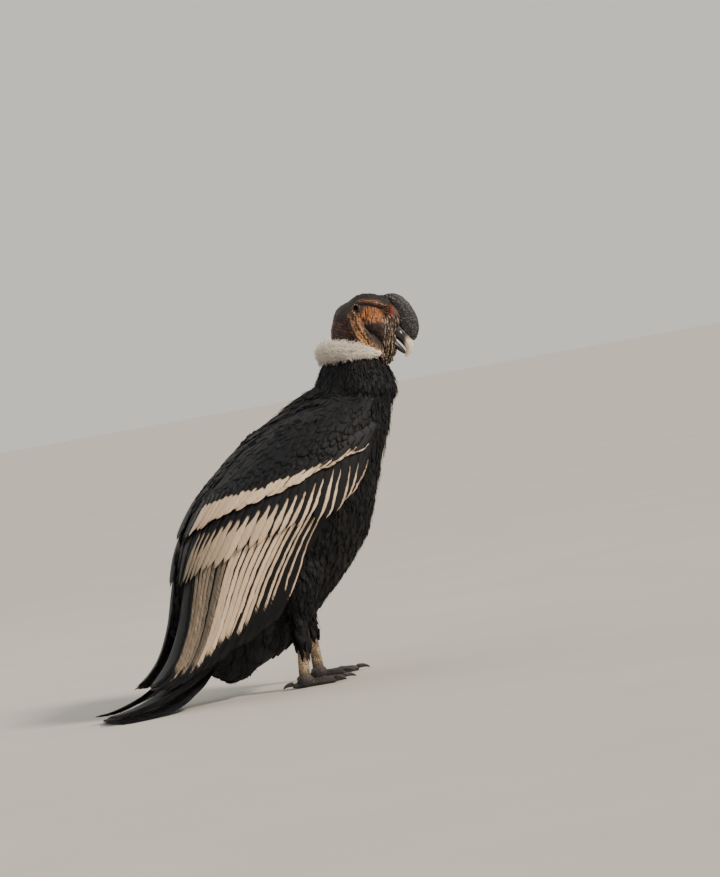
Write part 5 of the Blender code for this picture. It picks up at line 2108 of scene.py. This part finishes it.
@dataclass(frozen=True)
class CombFinish:
    """Fleshy comb, thick skin over gristle: dull slate, with painted highlights on the tops of the pebbles."""

    name: str = "comb_gristle"
    slate: str = "#17191d"
    # pale is the painted highlight on the pebbles
    pale: str = "#8a827b"
    crease: str = "#0e0f12"

    def build(self) -> Material:
        """Builds the material.

        Returns:
            The material.
        """
        t = Tree(self.name)
        zone = t.add(ATTRIBUTE, attribute_name="ZoneA")
        pebble, low, crease = t.add(SPLIT, zone).node.outputs
        fine = t.add(NOISE, t.place, grains(1.3), 3.0)
        cells = t.add(CELLS, t.place, grains(4.0))
        tops = t.add(STEP, cells, 0.50, 0.22)
        # painted highlights: the tops of the raised pebbles are paler, most on the lower, rear part
        share = t.add(
            SHARE, t.add(TIMES, tops, t.add(STEP, pebble, 0.25, 0.7)), t.add(MULTIPLY_ADD, low, 0.70, 0.50)
        )
        colour = t.add(MIX, share, self.slate, self.pale)
        colour = t.add(MIX, t.add(TIMES, crease, 0.25), colour, self.crease)
        height = t.add(MULTIPLY_ADD, fine, 0.3, tops)
        return t.dress(colour, t.add(MULTIPLY_ADD, fine, 0.25, 0.36), height, 0.0007)


@dataclass(frozen=True)
class HornFinish:
    """Bill horn, keratin in layers: a polished gloss over faint growth lines, worn at the hook."""

    name: str = "bill_horn"
    black: str = "#1a1718"
    ivory: str = "#e3d6bd"
    stain: str = "#8f7a62"
    brown: str = "#3a3230"

    def build(self) -> Material:
        """Builds the material.

        Returns:
            The material.
        """
        t = Tree(self.name)
        zone = t.add(ATTRIBUTE, attribute_name="ZoneA")
        ivory, line, cloud = t.add(SPLIT, zone).node.outputs
        fine = t.add(NOISE, t.place, grains(2.2), 3.0)
        pale = t.add(MIX, t.add(TIMES, t.add(TIMES, line, cloud), 0.35), self.ivory, self.stain)
        edge = t.add(TIMES, ivory, t.add(MINUS, 1.0, ivory))
        pale = t.add(MIX, t.add(SHARE, edge, 2.4), pale, self.stain)
        dark = t.add(MIX, t.add(TIMES, fine, 0.35), self.black, self.brown)
        colour = t.add(MIX, ivory, dark, pale)
        return t.dress(colour, t.add(MULTIPLY_ADD, fine, 0.22, 0.26), fine, 0.00025, ior=1.55)


@dataclass(frozen=True)
class EyeFinish:
    """Wet eye: a clear cornea over a brown iris and a round black pupil."""

    name: str = "eye_wet"
    pupil: str = "#050404"
    iris: str = "#3a1c10"
    rim: str = "#0d0706"
    fibre: str = "#57301a"

    def build(self) -> Material:
        """Builds the material; the attribute holds the angle from the eye's axis.

        Returns:
            The material.
        """
        t = Tree(self.name)
        zone = t.add(ATTRIBUTE, attribute_name="ZoneA")
        off, _, _ = t.add(SPLIT, zone).node.outputs
        fibre = t.add(NOISE, t.place, grains(0.8), 2.0)
        iris = t.add(MIX, fibre, self.iris, self.fibre)
        colour = t.add(MIX, t.add(STEP, off, 0.30, 0.36), self.pupil, iris)
        colour = t.add(MIX, t.add(STEP, off, 0.66, 0.80), colour, self.rim)
        return t.dress(
            colour, t.add(TIMES, fibre, 0.08), fibre, 0.00001, coat_weight=0.35, coat_roughness=0.02,
            specular_ior_level=0.35
        )


@dataclass(frozen=True)
class ScaleFinish:
    """Leg scales, horny plates over dry skin: satin, whitened by dust on the shanks and black on the feet."""

    name: str = "leg_scales"
    pale: str = "#c2a982"
    tan: str = "#77624a"
    black: str = "#191716"
    grey: str = "#3a3634"
    seam: str = "#3b3028"
    foot_seam: str = "#0c0b0b"

    def build(self) -> Material:
        """Builds the material; the height of the place tells shank from foot.

        Returns:
            The material.
        """
        t = Tree(self.name)
        _, _, height = t.add(AXES, t.place).node.outputs
        cells = t.add(CELLS, t.place, grains(4.2), feature="DISTANCE_TO_EDGE")
        plates = t.add(STEP, cells, 0.02, 0.16)
        cloud, fine = t.add(NOISE, t.place, grains(11.0), 3.0), t.add(NOISE, t.place, grains(1.5), 2.0)
        shank = t.add(MIX, t.add(STEP, cloud, 0.35, 0.65), self.pale, self.tan)
        shank = t.add(MIX, t.add(MINUS, 1.0, plates), shank, self.seam)
        foot = t.add(MIX, fine, self.black, self.grey)
        foot = t.add(MIX, t.add(MINUS, 1.0, plates), foot, self.foot_seam)
        turn = t.add(STEP, t.add(MULTIPLY_ADD, cloud, 0.03, height), 0.030, 0.062)
        colour = t.add(MIX, turn, foot, shank)
        relief = t.add(ADD, plates, t.add(TIMES, fine, 0.3))
        return t.dress(colour, t.add(MULTIPLY_ADD, fine, 0.25, 0.45), relief, 0.0005)


@dataclass(frozen=True)
class ClawFinish:
    """Claw horn: black keratin, shiny, scuffed to grey in patches."""

    name: str = "claw_horn"
    black: str = "#121112"
    scuffed: str = "#4a4542"

    def build(self) -> Material:
        """Builds the material.

        Returns:
            The material.
        """
        t = Tree(self.name)
        fine, cloud = t.add(NOISE, t.place, grains(1.4), 3.0), t.add(NOISE, t.place, grains(7.0), 2.0)
        colour = t.add(MIX, t.add(TIMES, t.add(STEP, cloud, 0.45, 0.8), 0.6), self.black, self.scuffed)
        return t.dress(colour, t.add(MULTIPLY_ADD, fine, 0.3, 0.28), fine, 0.0002)


@dataclass(frozen=True)
class FloorFinish:
    """Matt painted studio floor."""

    name: str = "floor_paint"
    pale: str = "#b9b6b0"
    shade: str = "#b0ada8"

    def build(self) -> Material:
        """Builds the material.

        Returns:
            The material.
        """
        t = Tree(self.name)
        cloud = t.add(NOISE, t.place, grains(400.0), 2.0)
        colour = t.add(MIX, cloud, self.pale, self.shade)
        return t.dress(colour, t.add(MULTIPLY_ADD, cloud, 0.1, 0.75), cloud, 0.0002)


@dataclass(frozen=True)
class Lamp:
    """A soft lamp: its name, where it stands, its width, its strength and its colour."""

    name: str
    place: Point
    size: float
    watts: float
    colour: str


@dataclass
class Studio:
    """Floor, soft lights and the camera at the photograph's angle."""

    camera_place: Point = (-2.8875, -8.5233, 0.7360)
    azimuth: float = math.radians(-20)
    elevation: float = math.radians(1.5)
    roll: float = math.radians(10)
    lens: float = 171.83
    floor_size: float = 80
    floor_drop: float = 0.0004
    key_place: Point = (2.6, -3.2, 3.4)
    key_aim: Point = (0.0, 0.0, 0.2)
    key_strength: float = 4.0
    key_spread: float = math.radians(11)
    key_colour: str = "#fff0df"
    lamp_aim: Point = (0.0, 0.0, 0.42)
    lamps: tuple[Lamp, ...] = (
        Lamp("fill", (-3.4, -3.2, 1.8), 2.6, 10, "#eef3ff"),
        Lamp("rim", (-1.6, 3.2, 3.0), 2.2, 28, "#ffffff"),
    )
    world_colour: str = "#ebe6de"
    world_strength: float = 0.92

    def floor(self) -> None:
        """Adds the floor."""
        deselect()
        bpy.ops.mesh.primitive_plane_add(size=self.floor_size, location=(0, 0, -self.floor_drop))
        floor = bpy.context.active_object
        bpy.ops.object.transform_apply(location=True)
        floor.name = "floor"
        floor.data.materials.append(FloorFinish().build())

    def lights(self) -> None:
        """Adds the key light, the soft lamps and the pale surroundings."""
        bpy.ops.object.light_add(type="SUN", location=self.key_place)
        key = bpy.context.active_object
        key.name = "key"
        key.data.energy, key.data.angle = self.key_strength, self.key_spread
        key.data.color = linear(self.key_colour)[:3]
        key.rotation_euler = (
            Vector(self.key_aim) - Vector(self.key_place)
        ).to_track_quat("-Z", "Y").to_euler()
        for lamp in self.lamps:
            bpy.ops.object.light_add(type="AREA", location=lamp.place)
            light = bpy.context.active_object
            light.name = lamp.name
            light.data.size, light.data.energy = lamp.size, lamp.watts
            light.data.color = linear(lamp.colour)[:3]
            light.rotation_euler = (
                Vector(self.lamp_aim) - Vector(lamp.place)
            ).to_track_quat("-Z", "Y").to_euler()
        world = bpy.context.scene.world or bpy.data.worlds.new("studio")
        bpy.context.scene.world = world
        world.use_nodes = True
        back = world.node_tree.nodes["Background"]
        back.inputs[0].default_value, back.inputs[1].default_value = linear(
            self.world_colour
        ), self.world_strength

    def camera(self) -> None:
        """Adds the camera, rolled as the photograph is."""
        level = Vector((math.cos(self.azimuth), math.sin(self.azimuth), 0.0))
        away = Vector((
            math.sin(self.azimuth) * math.cos(self.elevation),
            -math.cos(self.azimuth) * math.cos(self.elevation),
            math.sin(self.elevation),
        ))
        upward = away.cross(level)
        side = level * math.cos(self.roll) - upward * math.sin(self.roll)
        up = upward * math.cos(self.roll) + level * math.sin(self.roll)
        data = bpy.data.cameras.new("camera")
        data.lens = self.lens
        camera = bpy.data.objects.new("camera", data)
        bpy.context.scene.collection.objects.link(camera)
        place = Vector(self.camera_place) + SHIFT
        rows = [(side[k], up[k], away[k], place[k]) for k in range(3)]
        camera.matrix_world = Matrix((*rows, (0, 0, 0, 1)))
        bpy.context.scene.camera = camera

    def build(self) -> None:
        """Adds everything."""
        self.floor()
        self.lights()
        self.camera()


def main() -> None:
    """Builds the bird from the skin outwards, then the studio."""
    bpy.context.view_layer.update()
    feather, down = FeatherFinish().build(), DownFinish().build()
    velvet = FeatherFinish(
        "body_feather_keratin", "#060708", "#13171e", "#332b25", gloss=0.55, level=0.22
    ).build()
    wings = Wings(1)
    wings.build(feather)
    Tail().build(feather)
    skin = Skin().build(UnderFinish().build(), BareSkinFinish().build(), ScaleFinish().build())
    cover = Cover(wings.coat)
    _, pale = cover.read(places_of(skin))
    write_colour(skin.data, "Pale", np.repeat(pale[:, None], 4, axis=1))
    BodyCoat(skin, cover).build(velvet)
    Ruff().build(down)
    HeadHairs().build(skin, velvet)
    Crest().build(CombFinish().build())
    Bill().build(HornFinish().build())
    Eyes().build(EyeFinish().build())
    Claws().build(ClawFinish().build())
    Studio().build()


if __name__ == "__main__":
    main()
